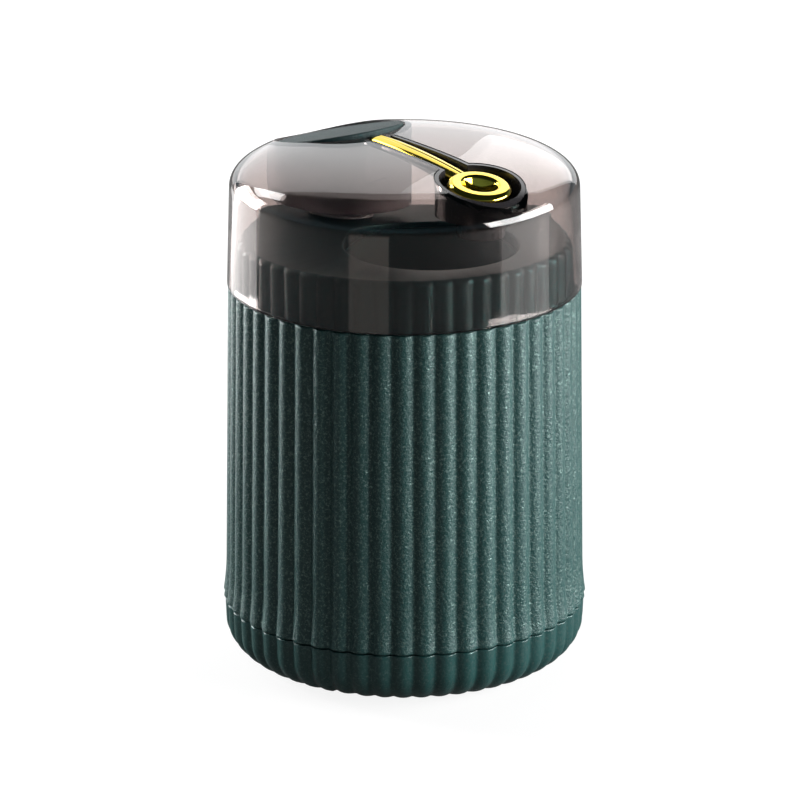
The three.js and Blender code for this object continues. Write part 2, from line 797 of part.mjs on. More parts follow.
// Smoked shell with the well of the button and the opening for the insert
function lidShell() {
  const crownAt = (inset, steps) => (
    crownProfile(lidShoulderRadius - inset, lidCrown - inset, steps));
  const outer = turn([
    [0, lidBottom],
    [lidLipRadius, lidBottom],
    [lidShoulderRadius, lidShoulderHeight],
    ...crownAt(0, crownSteps),
  ]);
  const room = turn([
    [0, lidBottom - over],
    [lidLipRadius - lidWall, lidBottom - over],
    [lidLipRadius - lidWall, lidBottom],
    [lidShoulderRadius - lidWall, lidShoulderHeight],
    ...crownAt(lidWall, crownSteps - 2),
  ]);
  const wellOval = (margin, bottom) => oval(buttonHalfWidth + margin, buttonHalfLength + margin,
    bottom, stripCrestHeight + over).translate([0, buttonOffset, 0]);
  const well = wellOval(seatGap + wellWall, wellUnderside).intersect(outer);
  const notchHalf = stripHalfWidth + fit;
  const notch = box(-notchHalf, notchHalf, trayRear, stripRear + fit,
    stripCrest(-stripRear) - stripThickness - seatGap, stripCrestHeight + over);
  const keyFace = neckValley - keyDepth + seatGap;
  return outer
    .subtract(room)
    .add(well)
    .subtract(wellOval(seatGap, wellFloorHeight))
    .subtract(cylinder(stemRadius + seatGap, wellUnderside - over, wellFloorHeight + over)
      .translate([0, buttonOffset, 0]))
    .subtract(keyhole(fit, cupBottom - fit))
    .subtract(notch)
    .add(box(-keyWidth / 2, keyWidth / 2, keyFace, lidLipRadius - lidWall, lidBottom,
      lidBottom + keyHeight));
}

// Keyhole insert: its top follows the crown, its channel follows the strip
function trimTray() {
  const crown = turn([
    [0, cupBottom - over],
    [lidShoulderRadius - traySink, cupBottom - over],
    ...crownProfile(lidShoulderRadius - traySink, lidCrown - traySink, crownSteps),
  ]);
  const floorDrop = stripThickness + seatGap;
  const front = laneOffset;
  const underside = stripLine(trayRear + over, front, floorDrop + trayFloor);
  const below = sideExtrusion([
    ...underside,
    [-front, cupBottom - over],
    [trayRear + over, cupBottom - over],
  ].reverse(), trayHalfWidth + over);
  const cup = cylinder(cupRadius, cupBottom, stripCrestHeight + over, roundSteps)
    .translate([0, -laneOffset, 0]);
  const inside = stripLine(trayRear + over, front, floorDrop);
  const top = stripCrestHeight + over;
  const channelRoom = sideExtrusion([
    ...inside,
    [-front, top],
    [trayRear + over, top],
  ], channelHalfWidth);
  const cupRoom = cylinder(cupInner, -ringHeight - seatGap, cupRadius, roundSteps)
    .rotate([ringTilt, 0, 0])
    .translate([0, -laneOffset, ringTopHeight]);
  return keyhole(0, cupBottom)
    .subtract(below.subtract(cup))
    .intersect(crown)
    .subtract(channelRoom)
    .subtract(cupRoom)
    .subtract(cylinder(ringFloorBoreRadius, cupBottom - over, ringTopHeight)
      .translate([0, -laneOffset, 0]));
}

// Outlet ring, about its own axis with its flat top at height 0
function outletRing() {
  return turn([
    [ringFloorBoreRadius, -ringHeight],
    [ringFootRadius, -ringHeight],
    [ringRadius, -ringHeight + ringFootHeight],
    [ringRadius, -ringEdge * 2],
    [ringTopRadius, -ringEdge / 2],
    [ringTopRadius - ringEdge, 0],
    [ringBoreRadius + ringEdge, 0],
    [ringBoreRadius, -ringEdge],
    [ringFloorBoreRadius, -ringHeight],
  ]);
}

// Half-round strip along its arc and the outlet ring, in one plated piece
function goldTrim() {
  const end = laneOffset - (ringBoreRadius + ringTopRadius) / 2;
  const crest = stripLine(stripRear, end, stripThickness);
  const path = new THREE.CatmullRomCurve3(crest.map(([y, z]) => new THREE.Vector3(0, y, z)));
  const section = new THREE.Shape();
  section.absellipse(0, 0, stripHalfWidth, stripThickness, Math.PI, 2 * Math.PI, false, 0);
  const strip = solid(new THREE.ExtrudeGeometry(section, {
    steps: stripSteps,
    extrudePath: path,
    curveSegments: stripSteps / 2,
  }));
  const ring = outletRing().rotate([ringTilt, 0, 0]).translate([0, -laneOffset, ringTopHeight]);
  return strip.add(ring);
}

// Funnel that catches the tip of the pick below the tray
function outletFunnel() {
  const top = cupBottom - seatGap;
  const bottom = top - funnelHeight;
  return turn([
    [funnelMouthRadius, bottom],
    [funnelMouthRadius + funnelWall, bottom],
    [funnelFlangeRadius, top],
    [ringFloorBoreRadius - fit, top],
    [ringFloorBoreRadius - fit, top + funnelSpigot],
    [funnelBoreRadius, top + funnelSpigot],
    [funnelBoreRadius, top],
    [funnelMouthRadius, bottom],
  ], smallSteps);
}

// Button

// Everything under the slanted top of the button, lowered by drop
function underSlant(drop) {
  const reach = 2 * buttonHalfLength;
  const slope = Math.tan(radians(buttonSlant));
  return sideExtrusion([
    [buttonOffset - reach, wellFloorHeight],
    [buttonOffset + reach, wellFloorHeight],
    [buttonOffset + reach, buttonTopHeight - reach * slope - drop],
    [buttonOffset - reach, buttonTopHeight + reach * slope - drop],
  ], 2 * buttonHalfWidth);
}

// Hollow oval cap with a pad for the spring and a socket for the stem
function buttonCap() {
  const top = stripCrestHeight + buttonHalfLength;
  const place = (shape) => shape.translate([0, buttonOffset, 0]);
  const hollow = place(oval(buttonHalfWidth - buttonWall, buttonHalfLength - buttonWall,
    buttonBottom - over, top)).intersect(underSlant(buttonWall));
  const bottomCut = place(cylinder(buttonPadRadius, buttonBottom, buttonPadBottom));
  const pad = place(cylinder(buttonPadRadius, buttonBottom, top)).subtract(bottomCut);
  const socket = place(cylinder(stemCollarRadius, buttonBottom, buttonPadBottom + fit));
  const cap = place(oval(buttonHalfWidth, buttonHalfLength, buttonBottom, top));
  return cap
    .subtract(hollow)
    .add(pad)
    .add(socket)
    .intersect(underSlant(0))
    .subtract(place(cylinder(stemRadius + fit, buttonBottom - over, stemTop + fit)));
}

// Stem with a groove for the retaining clip near its tail
function buttonStem() {
  const grooveTop = wellUnderside - seatGap + fit;
  const grooveBottom = grooveTop - clipThickness - 2 * fit;
  const edge = stemRadius * edgeShare;
  return turn([
    [0, stemBottom],
    [stemRadius - edge, stemBottom],
    [stemRadius, stemBottom + edge],
    [stemRadius, grooveBottom],
    [stemRadius - clipGroove, grooveBottom],
    [stemRadius - clipGroove, grooveTop],
    [stemRadius, grooveTop],
    [stemRadius, stemTop],
    [0, stemTop],
  ], smallSteps);
}

// Open retaining clip, snapped into the groove from the side
function buttonClip() {
  const top = wellUnderside - seatGap;
  const grip = stemRadius - clipGroove + fit;
  const bottom = top - clipThickness;
  return cylinder(clipRadius, bottom, top)
    .subtract(cylinder(grip, bottom - over, top + over))
    .subtract(box(-clipMouthHalf, clipMouthHalf, 0, clipRadius + over, bottom - over, top + over));
}

// Materials and the assembly

function finish(color, roughness, metalness = 0, opacity = 1) {
  return () => new THREE.MeshStandardMaterial({
    color,
    roughness,
    metalness,
    opacity,
    transparent: opacity < 1,
  });
}

const matteGreen = finish(0x1f4a45, 0.55);
const smokedClear = finish(0x8d7f80, 0.08, 0, 0.45);
const charcoal = finish(0x2b2a2c, 0.35);
const gold = finish(0xd8a531, 0.15, 1);
const steel = finish(0xa8aaad, 0.3, 1);
const greyNylon = finish(0x8f9392, 0.5);
const rubber = finish(0x3a3c3d, 0.85);

const dispenser = new THREE.Group();

function add(parent, name, shape, material, x = 0, y = 0, z = 0) {
  const mesh = new THREE.Mesh(skin(shape), material());
  mesh.name = name;
  mesh.position.set(x, y, z);
  parent.add(mesh);
  return mesh;
}

const body = new THREE.Group();
add(body, 'body_shell', bodyShell(), matteGreen);
add(body, 'neck_deck', neckDeck(), matteGreen);
add(body, 'rod_guide', rodGuide(), greyNylon, 0, rodOffset);
add(body, 'bin_liner', binLiner(), matteGreen);
linerScrewPlaces.forEach(([x, y], i) => {
  const tip = linerEarHeight + linerEarThickness + screwEngagement;
  add(body, `liner_screw_${i + 1}`, screw(linerEarHeight - seatGap, tip), steel, x, y);
});

const base = new THREE.Group();
add(base, 'base_cup', baseCup(), matteGreen);
screwPlaces.forEach(([x, y], i) => {
  const tip = pillarTop + screwEngagement - seatGap;
  add(base, `base_screw_${i + 1}`, screw(screwSeat - seatGap, tip), steel, x, y);
});
padPlaces.forEach(([x, y], i) => {
  add(base, `foot_pad_${i + 1}`, footPad(), rubber, x, y);
});
const axleHalf = rockerHalfWidth + seatGap + postWidth;
add(base, 'rocker_axle', crossBar(axleRadius, axleHalf, 0, 0), steel, 0, pivotOffset, pivotHeight);

const lift = new THREE.Group();
const lever = add(lift, 'rocker', rocker(), greyNylon, 0, pivotOffset, pivotHeight);
lever.rotation.x = rockAngle;
add(lift, 'lifter', lifter(), steel, 0, -laneOffset, footHeight);
add(lift, 'push_rod', pushRod(), greyNylon, 0, rodOffset);
const springTop = rearNoseHeight - rockerNoseRadius - springSeatThickness - seatGap;
const returnSpring = spring('return_spring', returnSpringRadius, returnSpringWire,
  returnSpringTurns, baseFloorTop + fit, springTop);
add(lift, 'return_spring', returnSpring, steel, 0, rodOffset);

const lid = new THREE.Group();
add(lid, 'lid_shell', lidShell(), smokedClear);
add(lid, 'trim_tray', trimTray(), charcoal);
add(lid, 'gold_trim', goldTrim(), gold);
add(lid, 'outlet_funnel', outletFunnel(), charcoal, 0, -laneOffset);
add(lid, 'button_cap', buttonCap(), matteGreen);
add(lid, 'button_stem', buttonStem(), greyNylon, 0, buttonOffset);
add(lid, 'button_clip', buttonClip(), steel, 0, buttonOffset);
const buttonSpring = spring('button_spring', buttonSpringRadius, buttonSpringWire,
  buttonSpringTurns, wellFloorHeight + fit, buttonPadBottom - fit);
add(lid, 'button_spring', buttonSpring, steel, 0, buttonOffset);

dispenser.add(body, base, lift, lid);

export default dispenser;
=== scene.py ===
# Press-type toothpick dispenser: fluted green body, smoked dome lid with an oval push
# button, and a gold strip that runs into the outlet ring. Shapes are drawn in
# millimetres and brought to metres as each piece is finished.
import math

import bmesh
import bpy
from mathutils import Matrix, Vector


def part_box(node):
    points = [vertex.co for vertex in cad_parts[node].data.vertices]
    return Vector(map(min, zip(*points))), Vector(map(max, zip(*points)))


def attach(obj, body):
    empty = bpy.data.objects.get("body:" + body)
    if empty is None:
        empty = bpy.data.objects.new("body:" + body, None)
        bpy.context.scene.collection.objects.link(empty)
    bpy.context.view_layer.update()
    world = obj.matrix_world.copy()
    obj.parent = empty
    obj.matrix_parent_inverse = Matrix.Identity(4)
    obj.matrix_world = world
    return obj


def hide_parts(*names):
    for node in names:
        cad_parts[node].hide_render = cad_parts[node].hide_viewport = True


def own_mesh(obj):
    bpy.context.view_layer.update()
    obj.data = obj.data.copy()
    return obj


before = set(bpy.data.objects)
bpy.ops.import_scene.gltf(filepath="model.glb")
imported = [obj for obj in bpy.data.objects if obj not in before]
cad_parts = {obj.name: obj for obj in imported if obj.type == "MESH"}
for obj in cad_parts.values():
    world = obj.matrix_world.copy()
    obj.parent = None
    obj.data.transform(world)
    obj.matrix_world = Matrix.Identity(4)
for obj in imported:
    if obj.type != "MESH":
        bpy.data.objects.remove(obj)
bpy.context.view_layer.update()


# Barrel
# The tall fluted tube of the body, injection moulded in dark green plastic with a fine
# sparkling grain. It has an inward ledge at its top, and three bosses inside that take
# the screws of the base.

mm = 0.001
no_radius = 0.01
sharp_edge = math.radians(38)
blunt_corner = math.radians(15)
round_steps = 160
pin_steps = 48

flute_count = 52
flute_phase = 0.5
points_per_flute = 16
valley_start_share = 0.82


def frame_box(node):
    """Lowest and highest corner of a CAD node in millimetres."""
    low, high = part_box(node)
    return low / mm, high / mm


def flute_fall(angle):
    """0 on the crest of a rib and 1 in the valley beside it, which has a small radius."""
    place = angle / math.tau * flute_count + flute_phase
    off_crest = 2 * abs(place - round(place))
    if off_crest < valley_start_share:
        return off_crest**2 / valley_start_share
    return 1 - (1 - off_crest) ** 2 / (1 - valley_start_share)


def eased(points, edge, ring=False, steps=4):
    """A profile with its sharper corners rounded off over a length of edge."""
    line = [Vector(point) for point in points]
    count = len(line)
    smooth = []
    for i, corner in enumerate(line):
        back, ahead = line[i - 1] - corner, line[(i + 1) % count] - corner
        if not ring and i in (0, count - 1) or back.angle(-ahead, 0) < blunt_corner:
            smooth.append(corner)
            continue
        reach = min(edge, back.length / 2, ahead.length / 2)
        start = corner + back.normalized() * reach
        end = corner + ahead.normalized() * reach
        for step in range(steps + 1):
            t = step / steps
            smooth.append(start.lerp(corner, t).lerp(corner.lerp(end, t), t))
    return smooth


def lofted(name, rows, ring=False):
    """A closed skin through rows of points, each a loop; a row of one point is a pole."""
    bm = bmesh.new()
    loops = [[bm.verts.new(point) for point in row] for row in rows]
    pairs = list(zip(loops, loops[1:]))
    if ring:
        pairs.append((loops[-1], loops[0]))
    for lower, upper in pairs:
        count = max(len(lower), len(upper))
        for i in range(count):
            j = (i + 1) % count
            corners = (lower[i % len(lower)], lower[j % len(lower)],
                       upper[j % len(upper)], upper[i % len(upper)])
            bm.faces.new(list(dict.fromkeys(corners)))
    if not ring:
        for loop in (loops[0], loops[-1]):
            if len(loop) > 1:
                bm.faces.new(loop)
    bmesh.ops.recalc_face_normals(bm, faces=bm.faces)
    mesh = bpy.data.meshes.new(name)
    bm.to_mesh(mesh)
    bm.free()
    piece = bpy.data.objects.new(name, mesh)
    bpy.context.scene.collection.objects.link(piece)
    return piece


def turned(name, profile, around, centre=(0, 0), ring=False):
    """A piece turned about an upright axis from [radius, height] or, where it is fluted,
    [crest radius, height, flute depth] points."""
    rows = []
    for radius, height, *depth in profile:
        if radius < no_radius:
            rows.append([(centre[0], centre[1], height)])
            continue
        row = []
        for i in range(around):
            angle = math.tau * i / around
            reach = radius - depth[0] * flute_fall(angle) if depth else radius
            row.append((centre[0] + reach * math.sin(angle),
                        centre[1] - reach * math.cos(angle), height))
        rows.append(row)
    return lofted(name, rows, ring)


def drum(radius, bottom, top, centre=(0, 0), around=pin_steps):
    """A plain round bar, used to add to a piece or to cut it."""
    profile = [(0, bottom), (radius, bottom), (radius, top), (0, top)]
    return turned("drum", profile, around, centre)


def block(low, high):
    """A plain box between two corners, used to add to a piece or to cut it."""
    x0, y0, z0 = low
    x1, y1, z1 = high
    rows = [[(x0, y0, z), (x1, y0, z), (x1, y1, z), (x0, y1, z)] for z in (z0, z1)]
    return lofted("block", rows)


def shaped(piece, operation, *tools):
    """Joins tools that stand apart to a piece, cuts them out of it, or keeps what lies in
    them, in one step."""
    bm = bmesh.new()
    for tool in tools:
        bm.from_mesh(tool.data)
        bpy.data.objects.remove(tool)
    mesh = bpy.data.meshes.new("tools")
    bm.to_mesh(mesh)
    bm.free()
    together = bpy.data.objects.new("tools", mesh)
    bpy.context.scene.collection.objects.link(together)
    step = piece.modifiers.new(operation, "BOOLEAN")
    step.operation = operation
    step.object = together
    step.solver = "EXACT"
    made = piece.evaluated_get(bpy.context.evaluated_depsgraph_get())
    shape = bpy.data.meshes.new_from_object(made)
    piece.modifiers.clear()
    piece.data = shape
    bpy.data.objects.remove(together)
    return piece


def fit_piece(piece, material, body, slot, *nodes):
    """Brings a finished shape to metres, smooths it and puts it on its body."""
    mesh = piece.data
    mesh.transform(Matrix.Scale(mm, 4))
    mesh.materials.clear()
    mesh.materials.append(material)
    mesh.shade_smooth()
    mesh.set_sharp_from_angle(angle=sharp_edge)
    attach(piece, body)
    if nodes:
        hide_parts(*nodes)


def noise(tree, scale, detail=2, roughness=0.5, distortion=0):
    """Noise that is fixed to the piece, with scale spots to a metre."""
    where = tree.nodes.new("ShaderNodeTexCoord")
    spots = tree.nodes.new("ShaderNodeTexNoise")
    spots.inputs["Scale"].default_value = scale
    spots.inputs["Detail"].default_value = detail
    spots.inputs["Roughness"].default_value = roughness
    spots.inputs["Distortion"].default_value = distortion
    tree.links.new(where.outputs["Object"], spots.inputs["Vector"])
    return spots.outputs["Fac"]


def ranged(tree, value, low, high, start=0, end=1):
    """Brings a value between start and end to one between low and high."""
    change = tree.nodes.new("ShaderNodeMapRange")
    change.inputs["From Min"].default_value = start
    change.inputs["From Max"].default_value = end
    change.inputs["To Min"].default_value = low
    change.inputs["To Max"].default_value = high
    tree.links.new(value, change.inputs["Value"])
    return change.outputs["Result"]


def mixed(tree, share, first, second):
    """A colour that goes from the first to the second as the share rises."""
    mix = tree.nodes.new("ShaderNodeMix")
    mix.data_type = "RGBA"
    mix.inputs["A"].default_value = (*first, 1)
    mix.inputs["B"].default_value = (*second, 1)
    tree.links.new(share, mix.inputs["Factor"])
    return mix.outputs["Result"]


def raise_grain(tree, value, height, strength=1):
    """Raises the surface with a value, over a height in metres."""
    bump = tree.nodes.new("ShaderNodeBump")
    bump.inputs["Strength"].default_value = strength
    bump.inputs["Distance"].default_value = height
    tree.links.new(value, bump.inputs["Height"])
    tree.links.new(bump.outputs["Normal"], tree.nodes["Principled BSDF"].inputs["Normal"])


green_index = 1.46
green_grain_detail = 3
green_grain_roughness = 0.7
flecks_to_a_grain = 1.3
fleck_roughness = 0.8
fleck_distortion = 0.6
fleck_level = 0.5
sheen_scale = 60
sheen_spread = 0.05


def green_plastic(name, dark, bright, grain, height, roughness, fleck_range):
    """Dark green moulding with a grain of this size and height in metres. Where the noise
    of the flecks rises over fleck_range, it turns bright and metallic."""
    material = bpy.data.materials.new(name)
    material.use_nodes = True
    tree = material.node_tree
    surface = tree.nodes["Principled BSDF"]
    surface.inputs["IOR"].default_value = green_index
    raise_grain(tree, noise(tree, 1 / grain, green_grain_detail, green_grain_roughness), height)

    fleck_noise = noise(tree, flecks_to_a_grain / grain, roughness=fleck_roughness,
                        distortion=fleck_distortion)
    flecks = tree.nodes.new("ShaderNodeValToRGB")
    flecks.color_ramp.elements[0].position = fleck_level
    flecks.color_ramp.elements[0].color = (0, 0, 0, 1)
    flecks.color_ramp.elements[1].position = fleck_level + fleck_range
    flecks.color_ramp.elements[1].color = (1, 1, 1, 1)
    tree.links.new(fleck_noise, flecks.inputs["Fac"])
    tone = mixed(tree, flecks.outputs["Color"], dark, bright)
    tree.links.new(tone, surface.inputs["Base Color"])
    tree.links.new(flecks.outputs["Color"], surface.inputs["Metallic"])

    sheen = ranged(tree, noise(tree, sheen_scale), roughness - sheen_spread,
                   roughness + sheen_spread)
    tree.links.new(sheen, surface.inputs["Roughness"])
    return material


def three_places(circle, start):
    """Three even places on a circle, the first at start degrees from the X axis."""
    angles = [math.radians(start + 120 * i) for i in range(3)]
    return [(circle * math.cos(angle), circle * math.sin(angle)) for angle in angles]


dark_green = (0.013, 0.058, 0.055)
bright_green = (0.2, 0.29, 0.265)
barrel_low_radius = 33.85
barrel_top_radius = 33.0
flare_width = 0.65
flare_height = 8
flare_rows = 8
barrel_flute_depth = 0.74
flute_allowance = 0.7
barrel_wall = 1.6
barrel_edge = 0.45
ledge_thickness = 1.8
ledge_opening = 29.4
boss_circle = 28.0
boss_radius = 4.35
boss_bottom = 17.2
boss_length = 11
screw_bore = 1.4
screw_reach = 7

barrel_bottom = frame_box("body_shell")[0].z
ledge_height = frame_box("body_shell")[1].z
low_inner = barrel_low_radius - flute_allowance - barrel_wall
top_inner = barrel_top_radius - flute_allowance - barrel_wall
flare = []
for i in range(flare_rows + 1):
    up = i / flare_rows
    flare.append((barrel_low_radius + flare_width * (1 - up) ** 2,
                  barrel_bottom + flare_height * up, barrel_flute_depth))
barrel_profile = eased([
    (low_inner, barrel_bottom, 0),
    *flare,
    (barrel_top_radius, ledge_height, barrel_flute_depth),
    (barrel_top_radius - 2 * barrel_edge, ledge_height, 0),
    (ledge_opening, ledge_height, 0),
    (ledge_opening, ledge_height - ledge_thickness, 0),
    (top_inner, ledge_height - ledge_thickness, 0),
    (low_inner, barrel_bottom + flare_height, 0),
], barrel_edge, ring=True)
barrel = turned("fluted_barrel", barrel_profile, flute_count * points_per_flute, ring=True)
screw_places = three_places(boss_circle, 90)
shaped(barrel, "UNION",
       *[drum(boss_radius, boss_bottom, boss_bottom + boss_length, place)
         for place in screw_places])
shaped(barrel, "DIFFERENCE",
       *[drum(screw_bore, boss_bottom - screw_reach, boss_bottom + screw_reach, place)
         for place in screw_places])
barrel_green = green_plastic("grained_green", dark_green, bright_green, grain=0.0006,
                             height=0.0002, roughness=0.39, fleck_range=0.28)
fit_piece(barrel, barrel_green, "body", "matte_green", "body_shell")


# Neck and deck
# The narrower fluted ring that the lid slips over, with the flat deck in it, one moulding
# in the same green. Its skirt snaps into the ledge; the deck has the hole of the bin, a
# smaller one for the bush of the push rod, and a groove for the key of the lid.

deck_green = (0.013, 0.06, 0.066)
bright_deck_green = (0.03, 0.1, 0.105)
neck_radius = 30.8
neck_gap = 0.3
neck_flute_depth = 0.6
neck_edge = 1.2
neck_edge_steps = 8
deck_thickness = 1.8
skirt_radius = 29.1
skirt_wall = 1.6
bead_height = 1.0
bead_depth = 0.7
bead_gap = 0.3
bin_offset = 8
hole_radius = 16
hole_edge = 0.5
hole_edge_steps = 5
rod_offset = 20
bush_hole_radius = 5.3
ear_offset = 21.75
ear_boss_radius = 3
ear_boss_bottom = 73.2
key_groove_half = 1.3
key_groove_floor = 29.5
over = 2
overlap = 0.15


def quarter_turn(steps):
    """The sine and cosine at even steps over a quarter turn."""
    angles = [math.pi / 2 * i / steps for i in range(steps + 1)]
    return [(math.sin(angle), math.cos(angle)) for angle in angles]


skirt_bottom = frame_box("neck_deck")[0].z
deck_height = frame_box("neck_deck")[1].z
deck_underside = deck_height - deck_thickness
neck_bottom = ledge_height + neck_gap
neck_corner = []
for sine, cosine in quarter_turn(neck_edge_steps):
    neck_corner.append((neck_radius - neck_edge * (1 - cosine),
                        deck_height - neck_edge * (1 - sine), neck_flute_depth * cosine))
bead_top = ledge_height - ledge_thickness - bead_gap
neck_profile = [
    (0, deck_underside, 0),
    (skirt_radius - skirt_wall, deck_underside, 0),
    (skirt_radius - skirt_wall, skirt_bottom, 0),
    (skirt_radius, skirt_bottom, 0),
    (skirt_radius, bead_top - bead_height, 0),
    (skirt_radius + bead_depth, bead_top, 0),
    (skirt_radius, bead_top, 0),
    (skirt_radius, neck_bottom, 0),
    (neck_radius, neck_bottom, neck_flute_depth),
    *neck_corner,
    (0, deck_height, 0),
]
neck = turned("neck_and_deck", neck_profile, flute_count * points_per_flute)
hole_profile = [(0, deck_underside - over), (hole_radius, deck_underside - over)]
for sine, cosine in quarter_turn(hole_edge_steps):
    hole_profile.append((hole_radius + hole_edge * (1 - cosine),
                         deck_height - hole_edge * (1 - sine)))
hole_profile += [(hole_radius + 2 * hole_edge, deck_height + hole_edge),
                 (hole_radius + 2 * hole_edge, deck_height + over), (0, deck_height + over)]
at_rod = (0, rod_offset)
ear_places = [(-ear_offset, -bin_offset), (ear_offset, -bin_offset)]
shaped(neck, "UNION",
       *[drum(ear_boss_radius, ear_boss_bottom, deck_underside + overlap, place)
         for place in ear_places])
shaped(neck, "DIFFERENCE",
       turned("bin_hole", hole_profile, round_steps, (0, -bin_offset)),
       drum(bush_hole_radius, deck_underside - over, deck_height + over, at_rod),
       block((-key_groove_half, key_groove_floor, ledge_height),
             (key_groove_half, neck_radius + over, deck_height + over)),
       *[drum(screw_bore, ear_boss_bottom - over, ear_boss_bottom + screw_reach, place)
         for place in ear_places])
neck_green = green_plastic("deck_green", deck_green, bright_deck_green, grain=0.0005,
                           height=0.00003, roughness=0.36, fleck_range=0.1)
fit_piece(neck, neck_green, "body", "matte_green", "neck_deck")


# Rod bush
# The flanged bush in the deck that the push rod slides in, turned from grey nylon. The head
# of the rod sinks into its wide upper end.

rod_bore = 2.3
sink_radius = 3.5
bush_radius = 5
bush_flange_radius = 6.4
bush_flange = 0.8
bush_edge = 0.25
bush_guide = 9
bush_steps = 96
noise_low = 0.3
noise_high = 0.7
fine_grain_detail = 4


def grained_finish(name, colour, grain, height, strength, gloss, settings=()):
    """A plain finish with a grain of this size and height in metres, a roughness that
    varies between the two of gloss, and pairs of other settings of its shader."""
    material = bpy.data.materials.new(name)
    material.use_nodes = True
    tree = material.node_tree
    surface = tree.nodes["Principled BSDF"]
    surface.inputs["Base Color"].default_value = (*colour, 1)
    for setting, value in settings:
        surface.inputs[setting].default_value = value
    spots = noise(tree, 1 / grain, fine_grain_detail)
    raise_grain(tree, spots, height, strength)
    tree.links.new(ranged(tree, spots, *gloss, noise_low, noise_high),
                   surface.inputs["Roughness"])
    return material


nylon = grained_finish("grey_nylon", (0.4, 0.41, 0.41), grain=0.0006, height=0.00002,
                       strength=0.4, gloss=(0.4, 0.55),
                       settings=[("Subsurface Weight", 0.05), ("Subsurface Scale", 0.002)])
bush_low, bush_high = frame_box("rod_guide")
sink_floor = bush_low.z + bush_guide
bush = turned("nylon_bush", eased([
    (rod_bore, bush_low.z),
    (bush_radius, bush_low.z),
    (bush_radius, bush_high.z - bush_flange),
    (bush_flange_radius, bush_high.z - bush_flange),
    (bush_flange_radius, bush_high.z),
    (sink_radius, bush_high.z),
    (sink_radius, sink_floor),
    (rod_bore, sink_floor),
], bush_edge, ring=True), bush_steps, at_rod, ring=True)
fit_piece(bush, nylon, "body", "grey_nylon", "rod_guide")


# Bin
# The open tube under the deck that holds the upright picks, green like the body. Its floor
# slopes down to the lane at the front, where the lift pin comes through a guide; two ears
# take the screws and an arm at the back guides the push rod.

bin_radius = 15.85
bin_wall = 1.4
bin_flange_radius = 18.45
bin_flange = 1.3
lane_offset = 22.5
lane_guide_radius = 2.75
lane_bore = 1.25
lane_depth = 7.5
floor_slope = math.tan(math.radians(6))
floor_thickness = 2
ear_thickness = 1.3
ear_height = 71.6
arm_half = 1.5
arm_bottom = 33.2
arm_height = 5
rod_guide_radius = 3.8

lane_guide_bottom = frame_box("bin_liner")[0].z
bin_top = frame_box("bin_liner")[1].z
lane_floor = lane_guide_bottom + lane_depth


def floor_slab(lift):
    """Everything between the sloping floor, moved up by lift, and the deck."""
    reach = 2 * bin_flange_radius
    near, far = -lane_offset - reach, -lane_offset + reach
    rows = []
    for x in (-reach, reach):
        rows.append([
            (x, near, lane_floor - reach * floor_slope + lift),
            (x, far, lane_floor + reach * floor_slope + lift),
            (x, far, deck_height),
            (x, near, deck_height),
        ])
    return lofted("slab", rows)


at_bin = (0, -bin_offset)
at_lane = (0, -lane_offset)
liner_profile = [
    (0, lane_guide_bottom - floor_thickness),
    (bin_radius + bin_wall, lane_guide_bottom - floor_thickness),
    (bin_radius + bin_wall, bin_top - bin_flange),
    (bin_flange_radius, bin_top - bin_flange),
    (bin_flange_radius, bin_top),
    (0, bin_top),
]
liner = turned("pick_bin", liner_profile, round_steps, at_bin)
shaped(liner, "INTERSECT", floor_slab(-floor_thickness))
room = drum(bin_radius, lane_guide_bottom, bin_top + over, at_bin, round_steps)
shaped(room, "INTERSECT", floor_slab(0))
shaped(liner, "DIFFERENCE", room)
ear_plates = []
for x, y in ear_places:
    low_x, high_x = sorted((math.copysign(bin_radius + bin_wall / 2, x), x))
    ear_plates.append(block((low_x, y - ear_boss_radius, ear_height),
                            (high_x, y + ear_boss_radius, ear_height + ear_thickness)))
shaped(liner, "UNION",
       drum(lane_guide_radius, lane_guide_bottom, lane_floor - overlap, at_lane),
       block((-arm_half, bin_radius - bin_offset + bin_wall / 2, arm_bottom),
             (arm_half, rod_offset, arm_bottom + arm_height)),
       *ear_plates)
shaped(liner, "UNION",
       drum(rod_guide_radius, arm_bottom, arm_bottom + arm_height, at_rod),
       *[drum(ear_boss_radius, ear_height, ear_height + ear_thickness, place)
         for place in ear_places])
shaped(liner, "DIFFERENCE",
       drum(rod_bore, arm_bottom - over, arm_bottom + arm_height + over, at_rod),
       drum(lane_bore, lane_guide_bottom - over, lane_floor + over, at_lane),
       *[drum(screw_bore, ear_height - over, ear_height + ear_thickness + over, place)
         for place in ear_places])
fit_piece(liner, neck_green, "body", "matte_green", "bin_liner")


# Base
# The shallow fluted cup that closes the body from below, in the same green with a finer
# skin. Inside are the pillars of the three screws and the two posts that carry the rocker.

bright_base_green = (0.11, 0.17, 0.16)
base_flat_radius = 26.0
base_corner_radius = 34.05
base_corner_height = 6.9
base_rim_radius = 34.2
base_corner_rows = 14
base_flute_depth = 0.74
base_edge = 0.3
base_inner_radius = 30.9
base_inner_corner = 3
base_floor = 2.5
seam_gap = 0.3
spigot_outer = 31.25
spigot_inner = 29.65
spigot_bottom = 8.45
spigot_reach = 5.5
pillar_radius = 3
pillar_height = 14
head_recess = 2.55
head_seat = 6.4
pad_circle = 21
pad_recess_radius = 4.65
pad_recess_depth = 1.25
pivot_offset = 7.5
pivot_height = 11
post_inner = 2.8
post_width = 2.6
post_half_length = 3.6
axle_bore = 1.6
spring_stub_radius = 2.35
spring_stub_height = 1.2

